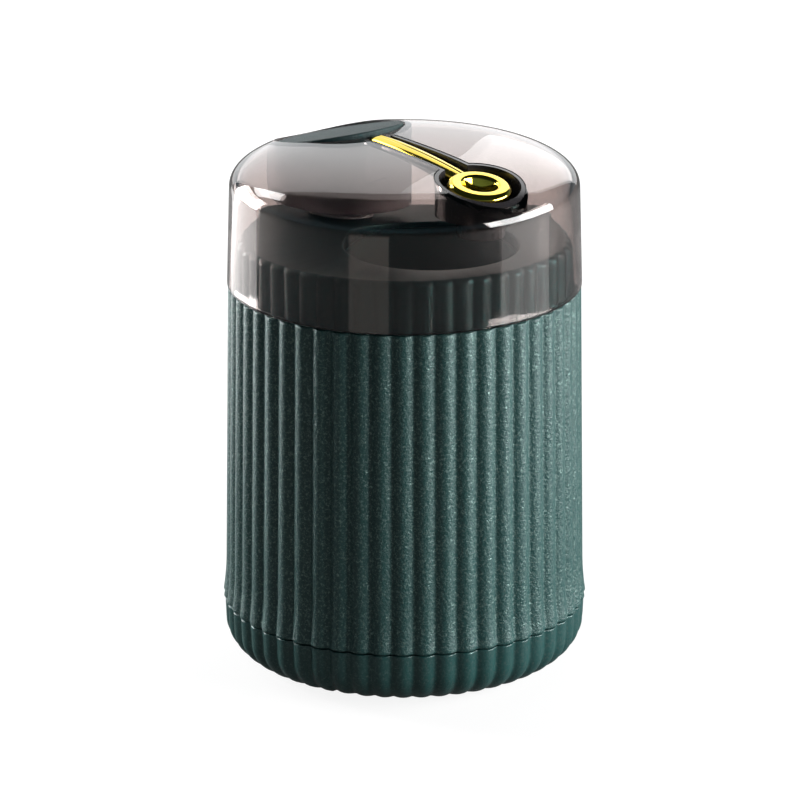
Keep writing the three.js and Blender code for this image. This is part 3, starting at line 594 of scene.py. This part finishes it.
base_bottom = frame_box("base_cup")[0].z
base_top = barrel_bottom - seam_gap
spigot_top = base_top + seam_gap / 2 + spigot_reach
base_floor_top = base_bottom + base_floor
pillar_top = base_floor_top + pillar_height
base_corner = []
for sine, cosine in quarter_turn(base_corner_rows):
    base_corner.append((
        base_flat_radius + (base_corner_radius - base_flat_radius) * sine,
        base_bottom + base_corner_height * (1 - cosine), base_flute_depth))
base_rim = eased([
    base_corner[-1],
    (base_rim_radius, base_top, base_flute_depth),
    (base_rim_radius - 4 * base_edge, base_top, 0),
], base_edge)
base_profile = [
    (0, base_bottom, 0),
    *base_corner[:-1],
    *base_rim,
    (spigot_outer, base_top, 0),
    (spigot_outer, spigot_top, 0),
    (spigot_inner, spigot_top, 0),
    (spigot_inner, spigot_bottom, 0),
    (base_inner_radius, spigot_bottom, 0),
    (base_inner_radius, base_floor_top + base_inner_corner, 0),
    (base_inner_radius - base_inner_corner, base_floor_top, 0),
    (0, base_floor_top, 0),
]
base = turned("fluted_base", base_profile, flute_count * points_per_flute)
pad_places = three_places(pad_circle, 270)


def pivot_loop(x, radius):
    """A loop of points round the axis of the rocker, which lies from side to side."""
    angles = [math.tau * i / pin_steps for i in range(pin_steps)]
    return [(x, pivot_offset + radius * math.cos(angle),
             pivot_height + radius * math.sin(angle)) for angle in angles]


def cross_bar(radius, low_x, high_x):
    """A round bar along the axis of the rocker."""
    return lofted("cross_bar", [pivot_loop(low_x, radius), pivot_loop(high_x, radius)])


posts, post_tops = [], []
for side in (-1, 1):
    low_x, high_x = sorted((side * post_inner, side * (post_inner + post_width)))
    posts.append(block((low_x, pivot_offset - post_half_length, base_floor_top - overlap),
                       (high_x, pivot_offset + post_half_length, pivot_height)))
    post_tops.append(cross_bar(post_half_length, low_x, high_x))
shaped(base, "UNION",
       drum(spring_stub_radius, base_floor_top - overlap, base_floor_top + spring_stub_height,
            at_rod),
       *posts,
       *[drum(pillar_radius, base_floor_top - overlap, pillar_top, place)
         for place in screw_places])
shaped(base, "UNION", *post_tops)
axle_reach = post_inner + post_width + over
screw_hole = [(0, base_bottom - over), (head_recess, base_bottom - over),
              (head_recess, head_seat), (screw_bore, head_seat),
              (screw_bore, pillar_top + over), (0, pillar_top + over)]
shaped(base, "DIFFERENCE",
       cross_bar(axle_bore, -axle_reach, axle_reach),
       *[turned("screw_hole", screw_hole, pin_steps, place) for place in screw_places],
       *[drum(pad_recess_radius, base_bottom - over, pad_recess_depth, place)
         for place in pad_places])
base_green = green_plastic("base_green", dark_green, bright_base_green, grain=0.0006,
                           height=0.00008, roughness=0.32, fleck_range=0.28)
fit_piece(base, base_green, "body", "matte_green", "base_cup")


# Foot pads
# Three round pads of dark rubber, pressed into recesses under the base.

pad_radius = 4.5
pad_edge = 0.3
pad_steps = 64
pad_thickness = frame_box("foot_pad_1")[1].z

pad_rubber = grained_finish("dull_rubber", (0.045, 0.046, 0.048), grain=0.0004,
                            height=0.00004, strength=0.6, gloss=(0.7, 0.9))
pad_profile = eased([(0, 0), (pad_radius, 0), (pad_radius, pad_thickness),
                     (0, pad_thickness)], pad_edge)
for number, place in enumerate(pad_places, 1):
    pad = turned(f"rubber_pad_{number}", pad_profile, pad_steps, place)
    fit_piece(pad, pad_rubber, "body", "pad_rubber", f"foot_pad_{number}")


# Screws
# Pan-head steel screws: three that hold the base to the barrel, driven from below, and two
# that hold the bin under the deck.

steel = grained_finish("bright_steel", (0.56, 0.57, 0.58), grain=0.0003, height=0.00001,
                       strength=0.3, gloss=(0.2, 0.34), settings=[("Metallic", 1)])

screw_head_radius = 2.4
screw_head_height = 1.8
screw_shank_radius = 1.25
screw_edge = 0.5
screw_steps = 32
slot_half = 0.3
slot_depth = 0.7
slot_reach_share = 0.6
thread_pitch = 1.0
thread_depth = 0.22


def screw(name, node, place):
    """One pan-head screw, head down, with a cross slot and the crests of its thread."""
    low, high = frame_box(node)
    head_top = low.z + screw_head_height
    root = screw_shank_radius - thread_depth
    outline = eased([(0, low.z), (screw_head_radius, low.z), (screw_head_radius, head_top),
                     (root, head_top)], screw_edge, steps=3)
    height = head_top + thread_pitch
    while height < high.z - 2 * thread_pitch:
        outline.append((root, height))
        outline.append((screw_shank_radius, height + thread_pitch / 2))
        height += thread_pitch
    outline += [(root, height), (0, high.z)]
    piece = turned(name, outline, screw_steps, place)
    x, y = place
    arm = screw_head_radius * slot_reach_share
    cross = [(-arm, -slot_half), (-slot_half, -slot_half), (-slot_half, -arm),
             (slot_half, -arm), (slot_half, -slot_half), (arm, -slot_half),
             (arm, slot_half), (slot_half, slot_half), (slot_half, arm),
             (-slot_half, arm), (-slot_half, slot_half), (-arm, slot_half)]
    shaped(piece, "DIFFERENCE", lofted("cross_slot", [
        [(x + across, y + along, z) for across, along in cross]
        for z in (low.z - over, low.z + slot_depth)]))
    fit_piece(piece, steel, "body", "steel", node)


for number, place in enumerate(screw_places, 1):
    screw(f"base_fixing_{number}", f"base_screw_{number}", place)
for number, place in enumerate(ear_places, 1):
    screw(f"bin_fixing_{number}", f"liner_screw_{number}", place)


# Rocker and axle
# The two-armed lever in the base, moulded in grey nylon, on a steel axle between two posts.
# Its rear arm takes the push rod and its front arm lifts the pin.

def repaint(material, *nodes):
    """Gives CAD nodes that keep their own shape their finish."""
    for node in nodes:
        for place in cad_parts[node].material_slots:
            place.material = material


repaint(nylon, "rocker")
axle_radius = 1.45
axle_edge = 0.3
axle_low, axle_high = frame_box("rocker_axle")
axle = lofted("axle_pin", [
    pivot_loop(axle_low.x, axle_radius - axle_edge),
    pivot_loop(axle_low.x + axle_edge, axle_radius),
    pivot_loop(axle_high.x - axle_edge, axle_radius),
    pivot_loop(axle_high.x, axle_radius - axle_edge),
])
fit_piece(axle, steel, "body", "steel", "rocker_axle")


# Push rod and lift pin
# The grey nylon rod takes the push of the button down to the rocker. The steel pin under
# the lane has a cupped tip that a pick stands on.

rod_radius = 2
rod_head_radius = 3
rod_head_height = 1.5
rod_edge = 0.4
rod_steps = 64
rod_low, rod_high = frame_box("push_rod")
rod = turned("nylon_push_rod", eased([
    (0, rod_low.z),
    (rod_radius, rod_low.z),
    (rod_radius, rod_high.z - rod_head_height),
    (rod_head_radius, rod_high.z - rod_head_height),
    (rod_head_radius, rod_high.z),
    (0, rod_high.z),
], rod_edge), rod_steps, at_rod)
fit_piece(rod, nylon, "push_rod", "grey_nylon", "push_rod")

lift_pin_radius = 1.1
lift_foot_radius = 2.8
lift_foot_height = 1.5
lift_cup_depth = 0.5
pin_low, pin_high = frame_box("lifter")
pin = turned("lift_pin", eased([
    (0, pin_low.z),
    (lift_foot_radius, pin_low.z),
    (lift_foot_radius, pin_low.z + lift_foot_height),
    (lift_pin_radius, pin_low.z + lift_foot_height),
    (lift_pin_radius, pin_high.z),
    (0, pin_high.z - lift_cup_depth),
], rod_edge), pin_steps, at_lane)
fit_piece(pin, steel, "lifter", "steel", "lifter")


# Springs
# Two coil springs of bright steel wire: one returns the button in its well, the other lies
# under the rear arm of the rocker.

wire_radius = 0.25
spring_turns = 4
steps_per_turn = 40
wire_sides = 12
rocker_coil_radius = 2.9
button_coil_radius = 4.1


def coil(name, node, radius, body):
    """A coil between the ends of its CAD node."""
    low, high = frame_box(node)
    bottom, top = low.z + wire_radius, high.z - wire_radius
    steps = spring_turns * steps_per_turn
    turns = [math.tau * k / wire_sides for k in range(wire_sides)]
    up = Vector((0, 0, 1))
    rows = []
    for i in range(steps + 1):
        angle = math.tau * i / steps_per_turn
        out = Vector((math.cos(angle), math.sin(angle), 0))
        centre = Vector((0, rod_offset, bottom + (top - bottom) * i / steps)) + out * radius
        rows.append([centre + wire_radius * (out * math.cos(turn) + up * math.sin(turn))
                     for turn in turns])
    piece = lofted(name, rows)
    fit_piece(piece, steel, body, "steel", node)
    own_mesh(piece)


coil("rocker_coil", "return_spring", rocker_coil_radius, "body")
coil("button_coil", "button_spring", button_coil_radius, "lid")


# Lid
# The smoked, see-through dome, polished plastic 1.7 mm thick. It has the oval well of the
# button at the back, with frosted walls, the keyhole opening of the dark insert, and a
# small key inside its lip that sets it on the neck.

lid_lip_radius = 33.15
lid_shoulder_radius = 32.6
lid_shoulder_height = 91.2
lid_crown = 8
crown_exponent = 2.6
lid_wall = 1.7
lid_edge = 0.25
crown_rows = 30
button_half_width = 12.6
button_half_length = 10.9
button_gap = 0.3
well_wall = 1.2
well_floor_height = 87.2
well_floor_thickness = 1.2
stem_bore = 1.9
tray_half_width = 3.3
tray_rear = 7.7
cup_radius = 8.3
cup_bottom = 91.5
tray_gap = 0.15
strip_half_width = 2.1
strip_thickness = 1.15
strip_rear = 8.7
notch_depth = 2.2
key_half = 1
key_face = 29.8
key_height = 4

lid_bottom = frame_box("lid_shell")[0].z
lid_top = lid_shoulder_height + lid_crown


def crown_height(radius, inset=0):
    """Height of the crown, or of a line inside it by inset, at a radius."""
    across = min(radius / (lid_shoulder_radius - inset), 1) ** crown_exponent
    return lid_shoulder_height + (lid_crown - inset) * (1 - across) ** (1 / crown_exponent)


def crown_line(inset=0):
    """The crown as profile points from its shoulder to the axis."""
    line = []
    for i in range(1, crown_rows + 1):
        fall = math.cos(math.pi / 2 * i / crown_rows)
        radius = (lid_shoulder_radius - inset) * fall ** (2 / crown_exponent)
        radius = radius if i < crown_rows else 0
        line.append((radius, crown_height(radius, inset)))
    return line


def oval_points(grow):
    """The oval of the button, grown by a gap, as points seen from above."""
    angles = [math.tau * i / round_steps for i in range(round_steps)]
    return [((button_half_width + grow) * math.cos(angle),
             rod_offset + (button_half_length + grow) * math.sin(angle)) for angle in angles]


def oval_drum(grow, bottom, top):
    """The oval of the button, grown by a gap, as an upright prism."""
    return lofted("oval", [[(x, y, z) for x, y in oval_points(grow)] for z in (bottom, top)])


outside = [
    *eased([
        (lid_lip_radius - lid_wall, lid_bottom + lid_wall),
        (lid_lip_radius - lid_wall, lid_bottom),
        (lid_lip_radius, lid_bottom),
        (lid_shoulder_radius, lid_shoulder_height),
    ], lid_edge)[1:],
    *crown_line(),
]
inside = [
    *reversed(crown_line(lid_wall)),
    (lid_shoulder_radius - lid_wall, lid_shoulder_height),
]
lid = turned("smoked_lid", inside + outside, 2 * round_steps)
well = oval_drum(button_gap + well_wall, well_floor_height - well_floor_thickness,
                 lid_top + over)
dome = turned("dome", [(0, lid_bottom), (lid_lip_radius, lid_bottom),
                       (lid_shoulder_radius, lid_shoulder_height), *crown_line()],
              2 * round_steps)
shaped(well, "INTERSECT", dome)
shaped(lid, "UNION", well)


def keyhole(name, grow, bottom):
    """The outline of the insert as an upright prism: a channel that runs into a cup."""
    half, reach = tray_half_width + grow, cup_radius + grow
    spread = math.asin(half / reach)
    rows = []
    for z in (bottom, lid_top + over):
        row = [(half, tray_rear + grow, z), (-half, tray_rear + grow, z)]
        for i in range(round_steps + 1):
            angle = spread + (math.tau - 2 * spread) * i / round_steps
            row.append((-reach * math.sin(angle), reach * math.cos(angle) - lane_offset, z))
        rows.append(row)
    return lofted(name, rows)


notch_half = strip_half_width + tray_gap
shaped(lid, "DIFFERENCE",
       oval_drum(button_gap, well_floor_height, lid_top + over),
       keyhole("insert_hole", tray_gap, cup_bottom - tray_gap))
shaped(lid, "DIFFERENCE",
       drum(stem_bore, well_floor_height - over, well_floor_height + over, at_rod),
       block((-notch_half, tray_rear - over, lid_top - notch_depth),
             (notch_half, strip_rear + tray_gap, lid_top + over)))
shaped(lid, "UNION",
       block((-key_half, key_face, lid_bottom),
             (key_half, lid_lip_radius - lid_wall, lid_bottom + key_height)))

clear_index = 1.49
oval_margin = 1.001
smoked = grained_finish("smoked_clear", (0.6, 0.53, 0.51), grain=0.004, height=0.00002,
                        strength=0.1, gloss=(0.0, 0.04),
                        settings=[("Transmission Weight", 1), ("IOR", clear_index)])
fit_piece(lid, smoked, "lid", "smoked_clear", "lid_shell")
frosted = grained_finish("frosted_smoke", (0.4, 0.37, 0.38), grain=0.0004, height=0.00003,
                         strength=0.4, gloss=(0.4, 0.55),
                         settings=[("Transmission Weight", 0.8), ("IOR", clear_index)])
lid.data.materials.append(frosted)
for face in lid.data.polygons:
    x, y, z = face.center / mm
    across = x / (button_half_width + button_gap + well_wall)
    along = (y - rod_offset) / (button_half_length + button_gap + well_wall)
    depth = crown_height(math.hypot(x, y)) - z
    if math.hypot(across, along) < oval_margin and depth > lid_wall / 2:
        face.material_index = 1


# Insert
# The charcoal keyhole tray let into the dome: a channel under the strip that widens into a
# cup round the outlet ring. Smooth dark plastic, its edges slightly broken.

tray_sink = 0.1
tray_wall = 0.7
tray_floor = 1
cup_wall = 1.7
ring_height = 3.15
ring_tilt = math.radians(10)
ring_bore_bottom = 2.2
strip_proud = 0.3
strip_crest_offset = 6
strip_arc_radius = 175
strip_steps = 40
ring_sink = 0.6
tray_edge = 0.15
bevel_steps = 3
bevel_corner = math.radians(40)
pocket_gap = 0.3
rim_width = 0.7

ring_top = crown_height(lane_offset) - ring_sink
strip_top = lid_top + strip_proud


def strip_crest(ahead):
    """Height of the strip's crest at a distance in front of the axis."""
    run = ahead + strip_crest_offset
    return strip_top - strip_arc_radius + math.sqrt(strip_arc_radius**2 - run**2)


def under_strip(half, rear, drop, bottom=None):
    """A slab as wide as 2 * half between the strip's line lowered by drop and the air, or
    a bottom below it."""
    rows = []
    for x in (-half, half):
        line = []
        for i in range(strip_steps + 1):
            ahead = -rear + (lane_offset + rear) * i / strip_steps
            line.append((x, -ahead, strip_crest(ahead) - drop))
        level = lid_top + over if bottom is None else bottom
        rows.append([*line, (x, -lane_offset, level), (x, rear, level)])
    return lofted("strip_slab", rows)


def tilted(piece):
    """Turns a piece drawn about its own axis to the tilt and place of the outlet ring."""
    piece.data.transform(Matrix.Translation((0, -lane_offset, ring_top))
                         @ Matrix.Rotation(ring_tilt, 4, "X"))
    return piece


tray = keyhole("dark_insert", 0, cup_bottom)
below = under_strip(tray_half_width + over, tray_rear + over,
                    strip_thickness + pocket_gap + tray_floor, cup_bottom - over)
shaped(below, "DIFFERENCE",
       drum(cup_radius, cup_bottom - 2 * over, lid_top + over, at_lane, round_steps))
shaped(tray, "DIFFERENCE", below)
tray_top = turned("tray_top", [(0, cup_bottom - over), (lid_shoulder_radius, cup_bottom - over),
                               *crown_line(tray_sink)], 2 * round_steps)
shaped(tray, "INTERSECT", tray_top)
shaped(tray, "DIFFERENCE",
       under_strip(tray_half_width - tray_wall, tray_rear + over, strip_thickness + pocket_gap))
pocket = [(0, -ring_height - pocket_gap), (cup_radius - cup_wall, -ring_height - pocket_gap),
          (cup_radius - cup_wall, -ring_height + pocket_gap), (cup_radius - rim_width, 0),
          (cup_radius - rim_width, cup_radius), (0, cup_radius)]
shaped(tray, "DIFFERENCE", tilted(turned("pocket", pocket, round_steps)))
shaped(tray, "DIFFERENCE", drum(ring_bore_bottom, cup_bottom - over, ring_top, at_lane))

charcoal = grained_finish("moulded_charcoal", (0.022, 0.02, 0.022), grain=0.0005,
                          height=0.00001, strength=0.3, gloss=(0.16, 0.28))
fit_piece(tray, charcoal, "lid", "charcoal", "trim_tray")
tray_bevel = tray.modifiers.new("broken_edges", "BEVEL")
tray_bevel.width = tray_edge * mm
tray_bevel.segments = bevel_steps
tray_bevel.limit_method = "ANGLE"
tray_bevel.angle_limit = bevel_corner
tray_bevel.harden_normals = True


# Gold trim
# The half-round strip along the crown, with a fine crease on its crest, and the outlet ring
# at its end, one piece of plastic plated to a bright gold. A pick comes up through the ring.

gold = grained_finish("bright_gold", (0.9, 0.66, 0.09), grain=0.0012, height=0.00001,
                      strength=0.25, gloss=(0.05, 0.12), settings=[("Metallic", 1)])

ring_radius = 5.95
ring_top_radius = 5.6
ring_bore = 3.3
ring_foot_radius = 5.25
ring_foot_height = 1.3
ring_edge = 0.35
strip_sides = 48
crease_depth = 0.14
crease_points = 2
strip_end_edge = 0.3
strip_end_rows = 2

strip_rows = []
strip_end = lane_offset - (ring_bore + ring_top_radius) / 2
for i in range(strip_steps + 1):
    ahead = -strip_rear + (strip_end + strip_rear) * i / strip_steps
    run = ahead + strip_crest_offset
    lean = math.asin(run / strip_arc_radius)
    up = Vector((0, -math.sin(lean), math.cos(lean)))
    foot = Vector((0, -ahead, strip_crest(ahead))) - up * strip_thickness
    inset = strip_end_edge * (1 - min(1, i / strip_end_rows)) ** 2
    row = []
    for k in range(strip_sides + 1):
        angle = math.pi * k / strip_sides
        crease = crease_depth * max(0, 1 - abs(k - strip_sides / 2) / crease_points)
        row.append(foot + Vector(((strip_half_width - inset) * math.cos(angle), 0, 0))
                   + up * ((strip_thickness - inset) * math.sin(angle) - crease))
    strip_rows.append(row)
strip = lofted("gold_strip_and_ring", strip_rows)
ring_profile = eased([
    (ring_bore_bottom, -ring_height),
    (ring_foot_radius, -ring_height),
    (ring_radius, -ring_height + ring_foot_height),
    (ring_radius, -2 * ring_edge),
    (ring_top_radius - ring_edge, 0),
    (ring_bore + ring_edge, 0),
    (ring_bore, -ring_edge),
], ring_edge, ring=True)
shaped(strip, "UNION", tilted(turned("ring", ring_profile, round_steps, ring=True)))
fit_piece(strip, gold, "lid", "gold_plating", "gold_trim")


# Outlet funnel
# The charcoal guide under the insert that leads the tip of the rising pick into the ring.

funnel_mouth = 3.4
funnel_wall = 1
funnel_flange_radius = 4.4
funnel_bore = 1.7
funnel_spigot = 1.3
funnel_edge = 0.15
funnel_steps = 64
funnel_low, funnel_high = frame_box("outlet_funnel")
funnel_top = funnel_high.z - funnel_spigot
funnel = turned("pick_funnel", eased([
    (funnel_mouth, funnel_low.z),
    (funnel_mouth + funnel_wall, funnel_low.z),
    (funnel_flange_radius, funnel_top),
    (ring_bore_bottom - tray_gap, funnel_top),
    (ring_bore_bottom - tray_gap, funnel_high.z),
    (funnel_bore, funnel_high.z),
    (funnel_bore, funnel_top),
], funnel_edge, ring=True), funnel_steps, at_lane, ring=True)
fit_piece(funnel, charcoal, "lid", "charcoal", "outlet_funnel")


# Button
# The oval push button, a hollow green cap with a slanted, finely textured top. A nylon
# stem in its socket runs down through the well and is kept by a steel clip.

# Painted shade: the cap's green and its flecks are darker than the body's same plastic, standing
# in for the shade that falls on the cap in its well.
button_green_painted_shade = (0.006, 0.024, 0.025)
bright_button_green_painted_shade = (0.03, 0.06, 0.06)
button_sink = 0.85
button_slope = math.tan(math.radians(14.3))
button_wall = 1.5
button_edge = 0.45
button_edge_steps = 6
button_rows_in = 8
stem_cover = 1.6
stem_radius = 1.6
stem_edge = 0.15
socket_radius = 2.8
socket_pad_radius = 5.2
socket_pad_depth = 2.5
socket_pad_steps = 64
wall_reach_share = 0.7
clip_groove_height = 1.1
clip_groove_depth = 0.4

button_bottom = frame_box("button_cap")[0].z
button_top = crown_height(rod_offset) - button_sink
socket_pad_bottom = button_top - socket_pad_depth


def slanted(y, drop):
    """Height at y of the slanted top, lowered by drop."""
    return button_top - (y - rod_offset) * button_slope - drop


def button_row(inset, drop=None):
    """A loop of the cap: lowered by drop from the slanted top, or level with its bottom."""
    return [(x, y, button_bottom if drop is None else slanted(y, drop))
            for x, y in oval_points(-inset)]


def socket_row(radius, level=None):
    """A loop of the socket or of its pad, level or inside the wall of the slanted top."""
    row = []
    for i in range(socket_pad_steps):
        angle = math.tau * i / socket_pad_steps
        x, y = radius * math.cos(angle), rod_offset + radius * math.sin(angle)
        row.append((x, y, slanted(y, button_wall * wall_reach_share) if level is None else level))
    return row


cap_rows = [[(0, rod_offset, button_top - button_wall)],
            button_row(button_wall, button_wall), button_row(button_wall), button_row(0)]
for sine, cosine in quarter_turn(button_edge_steps):
    cap_rows.append(button_row(button_edge * (1 - cosine), button_edge * (1 - sine)))
for i in range(1, button_rows_in):
    inset = button_edge + (button_half_length - button_edge) * i / button_rows_in
    cap_rows.append(button_row(inset, 0))
cap_rows.append([(0, rod_offset, button_top)])
cap = lofted("push_button", cap_rows)
shaped(cap, "UNION", lofted("socket_and_pad", [
    socket_row(socket_radius, button_bottom), socket_row(socket_radius, socket_pad_bottom),
    socket_row(socket_pad_radius, socket_pad_bottom), socket_row(socket_pad_radius)]))
shaped(cap, "DIFFERENCE",
       drum(stem_radius + tray_gap, button_bottom - over, button_top - stem_cover, at_rod))
cap_green_painted_shade = green_plastic("button_green_painted_shade", button_green_painted_shade, bright_button_green_painted_shade, grain=0.0006,
                          height=0.0002, roughness=0.6, fleck_range=0.2)
fit_piece(cap, cap_green_painted_shade, "button", "matte_green", "button_cap")

stem_low, stem_high = frame_box("button_stem")
groove_top = well_floor_height - well_floor_thickness - tray_gap
groove_bottom = groove_top - clip_groove_height
stem = turned("nylon_stem", eased([
    (0, stem_low.z),
    (stem_radius, stem_low.z),
    (stem_radius, groove_bottom),
    (stem_radius - clip_groove_depth, groove_bottom),
    (stem_radius - clip_groove_depth, groove_top),
    (stem_radius, groove_top),
    (stem_radius, stem_high.z),
    (0, stem_high.z),
], stem_edge), pin_steps, at_rod)
fit_piece(stem, nylon, "button", "grey_nylon", "button_stem")
repaint(steel, "button_clip")


# Studio
# In metres: a floor that shows white to the camera and keeps the shadow, a white surround,
# one soft lamp at the right and three at the left, two behind that show in the crown of the
# lid, and three small cards close beside the body.

camera_pitch = math.radians(18.927)
camera_azimuth = math.radians(37.5)
camera_distance = 0.9448
camera_lens = 225.85
sensor_width = 36
near_clip = 0.01
far_clip = 50
look_side = -0.000847
look_height = 0.04949


def from_camera(side, away, up):
    """A place given as right of, beyond and above the foot of the object's axis, as the
    camera sees it."""
    return Vector((side * math.cos(camera_azimuth) + away * math.sin(camera_azimuth),
                   -side * math.sin(camera_azimuth) + away * math.cos(camera_azimuth), up))


def aim(thing, place, target):
    """Puts the camera or a lamp at a place and turns it to a target."""
    thing.location = place
    thing.rotation_mode = "QUATERNION"
    thing.rotation_quaternion = (target - place).to_track_quat("-Z", "Y")
    bpy.context.scene.collection.objects.link(thing)


camera = bpy.data.objects.new("camera", bpy.data.cameras.new("camera"))
camera.data.lens = camera_lens
camera.data.sensor_width = sensor_width
camera.data.clip_start = near_clip
camera.data.clip_end = far_clip
aim(camera, from_camera(look_side, -camera_distance * math.cos(camera_pitch),
                        look_height + camera_distance * math.sin(camera_pitch)),
    from_camera(look_side, 0, look_height))
bpy.context.scene.camera = camera

at_middle = (0, 0, 0.05)
at_crown = (0, 0, 0.09)
at_body = (0, 0, 0.04)
white = (1, 1, 1)
warm_white = (1, 0.88, 0.8)


def softbox(name, width, height, watts, place, target=at_middle, colour=white):
    """A rectangular lamp that lights the piece and shows in its gloss."""
    lamp = bpy.data.lights.new(name, "AREA")
    lamp.shape = "RECTANGLE"
    lamp.size = width
    lamp.size_y = height
    lamp.energy = watts
    lamp.color = colour
    stand = bpy.data.objects.new(name, lamp)
    stand.visible_camera = False
    aim(stand, from_camera(*place), from_camera(*target))


softbox("right_softbox", 0.52, 0.22, 6.2, (0.494, -0.075, 0.16))
softbox("left_strip", 0.1, 0.24, 1.9, (-0.48, 0.2, 0.16))
softbox("left_fill", 0.3, 0.24, 3.4, (-0.46, 0.32, 0.16))
softbox("left_softbox", 0.2, 0.2, 0.9, (-0.42, 0.42, 0.52), at_crown)
softbox("back_softbox", 0.9, 0.64, 2.2, (0, 0.65, 0.34), at_crown)
softbox("back_right_softbox", 0.36, 0.5, 0.55, (0.2, 0.62, 0.42), at_crown)
softbox("left_card", 0.12, 0.07, 0.045, (-0.135, 0.09, 0.04), at_body)
softbox("right_card", 0.125, 0.07, 0.03, (0.169, -0.03, 0.04), at_body)
softbox("front_card", 0.07, 0.06, 0.007, (-0.06, -0.155, 0.035), at_body, warm_white)


def combined(tree, operation, first, second):
    """Two values brought to one: their product, or the larger of them."""
    step = tree.nodes.new("ShaderNodeMath")
    step.operation = operation
    tree.links.new(first, step.inputs[0])
    tree.links.new(second, step.inputs[1])
    return step.outputs["Value"]


gloss_share = 0.06


def seen_directly(tree):
    """1 for the camera and through clear pieces, less in a gloss, and 0 for lighting."""
    path = tree.nodes.new("ShaderNodeLightPath")
    level = path.outputs["Is Camera Ray"]
    for ray in ("Is Glossy Ray", "Is Transmission Ray"):
        level = combined(tree, "MAXIMUM", level, path.outputs[ray])
    for bounces, share in (("Glossy Depth", gloss_share), ("Diffuse Depth", 0)):
        fade = ranged(tree, path.outputs[bounces], 1, share)
        level = combined(tree, "MULTIPLY", level, fade)
    return level


world_level = 0.14
world_tint = (0.5, 0.82, 1)
sky_start = 0.22
sky_end = 0.45
sky_dark = 0.1

world = bpy.data.worlds.new("studio")
world.use_nodes = True
bpy.context.scene.world = world
tree = world.node_tree
air = tree.nodes["Background"]
direction = tree.nodes.new("ShaderNodeTexCoord")
parts = tree.nodes.new("ShaderNodeSeparateXYZ")
tree.links.new(direction.outputs["Generated"], parts.inputs["Vector"])
above = ranged(tree, parts.outputs["Z"], 1, sky_dark, sky_start, sky_end)
seen = seen_directly(tree)
tree.links.new(mixed(tree, seen, world_tint, white), air.inputs["Color"])
strength = ranged(tree, seen, world_level, 1)
tree.links.new(combined(tree, "MULTIPLY", strength, above), air.inputs["Strength"])

floor_size = 12
floor_grey = 0.15
floor_roughness = 0.9
# The floor's glow rises from near_lift within near_floor of the object to full beyond far_floor,
# so the floor round the object is painted a little darker: painted shade over the lamps' own
# shadow there.
near_floor = 0.1
far_floor = 0.4
near_lift = 0.88

bm = bmesh.new()
bmesh.ops.create_grid(bm, x_segments=1, y_segments=1, size=floor_size)
floor_mesh = bpy.data.meshes.new("floor")
bm.to_mesh(floor_mesh)
bm.free()
floor = bpy.data.objects.new("floor", floor_mesh)
bpy.context.scene.collection.objects.link(floor)
paper = bpy.data.materials.new("white_paper")
paper.use_nodes = True
tree = paper.node_tree
sheet = tree.nodes["Principled BSDF"]
sheet.inputs["Base Color"].default_value = (floor_grey, floor_grey, floor_grey, 1)
sheet.inputs["Roughness"].default_value = floor_roughness
sheet.inputs["Specular IOR Level"].default_value = 0
sheet.inputs["Emission Color"].default_value = (*white, 1)
ground = tree.nodes.new("ShaderNodeTexCoord")
away = tree.nodes.new("ShaderNodeVectorMath")
away.operation = "LENGTH"
tree.links.new(ground.outputs["Object"], away.inputs[0])
whiter = ranged(tree, away.outputs["Value"], near_lift, 1, near_floor, far_floor)
lift = combined(tree, "MULTIPLY", seen_directly(tree), whiter)
tree.links.new(lift, sheet.inputs["Emission Strength"])
floor_mesh.materials.append(paper)

bpy.context.scene.view_settings.view_transform = "Standard"
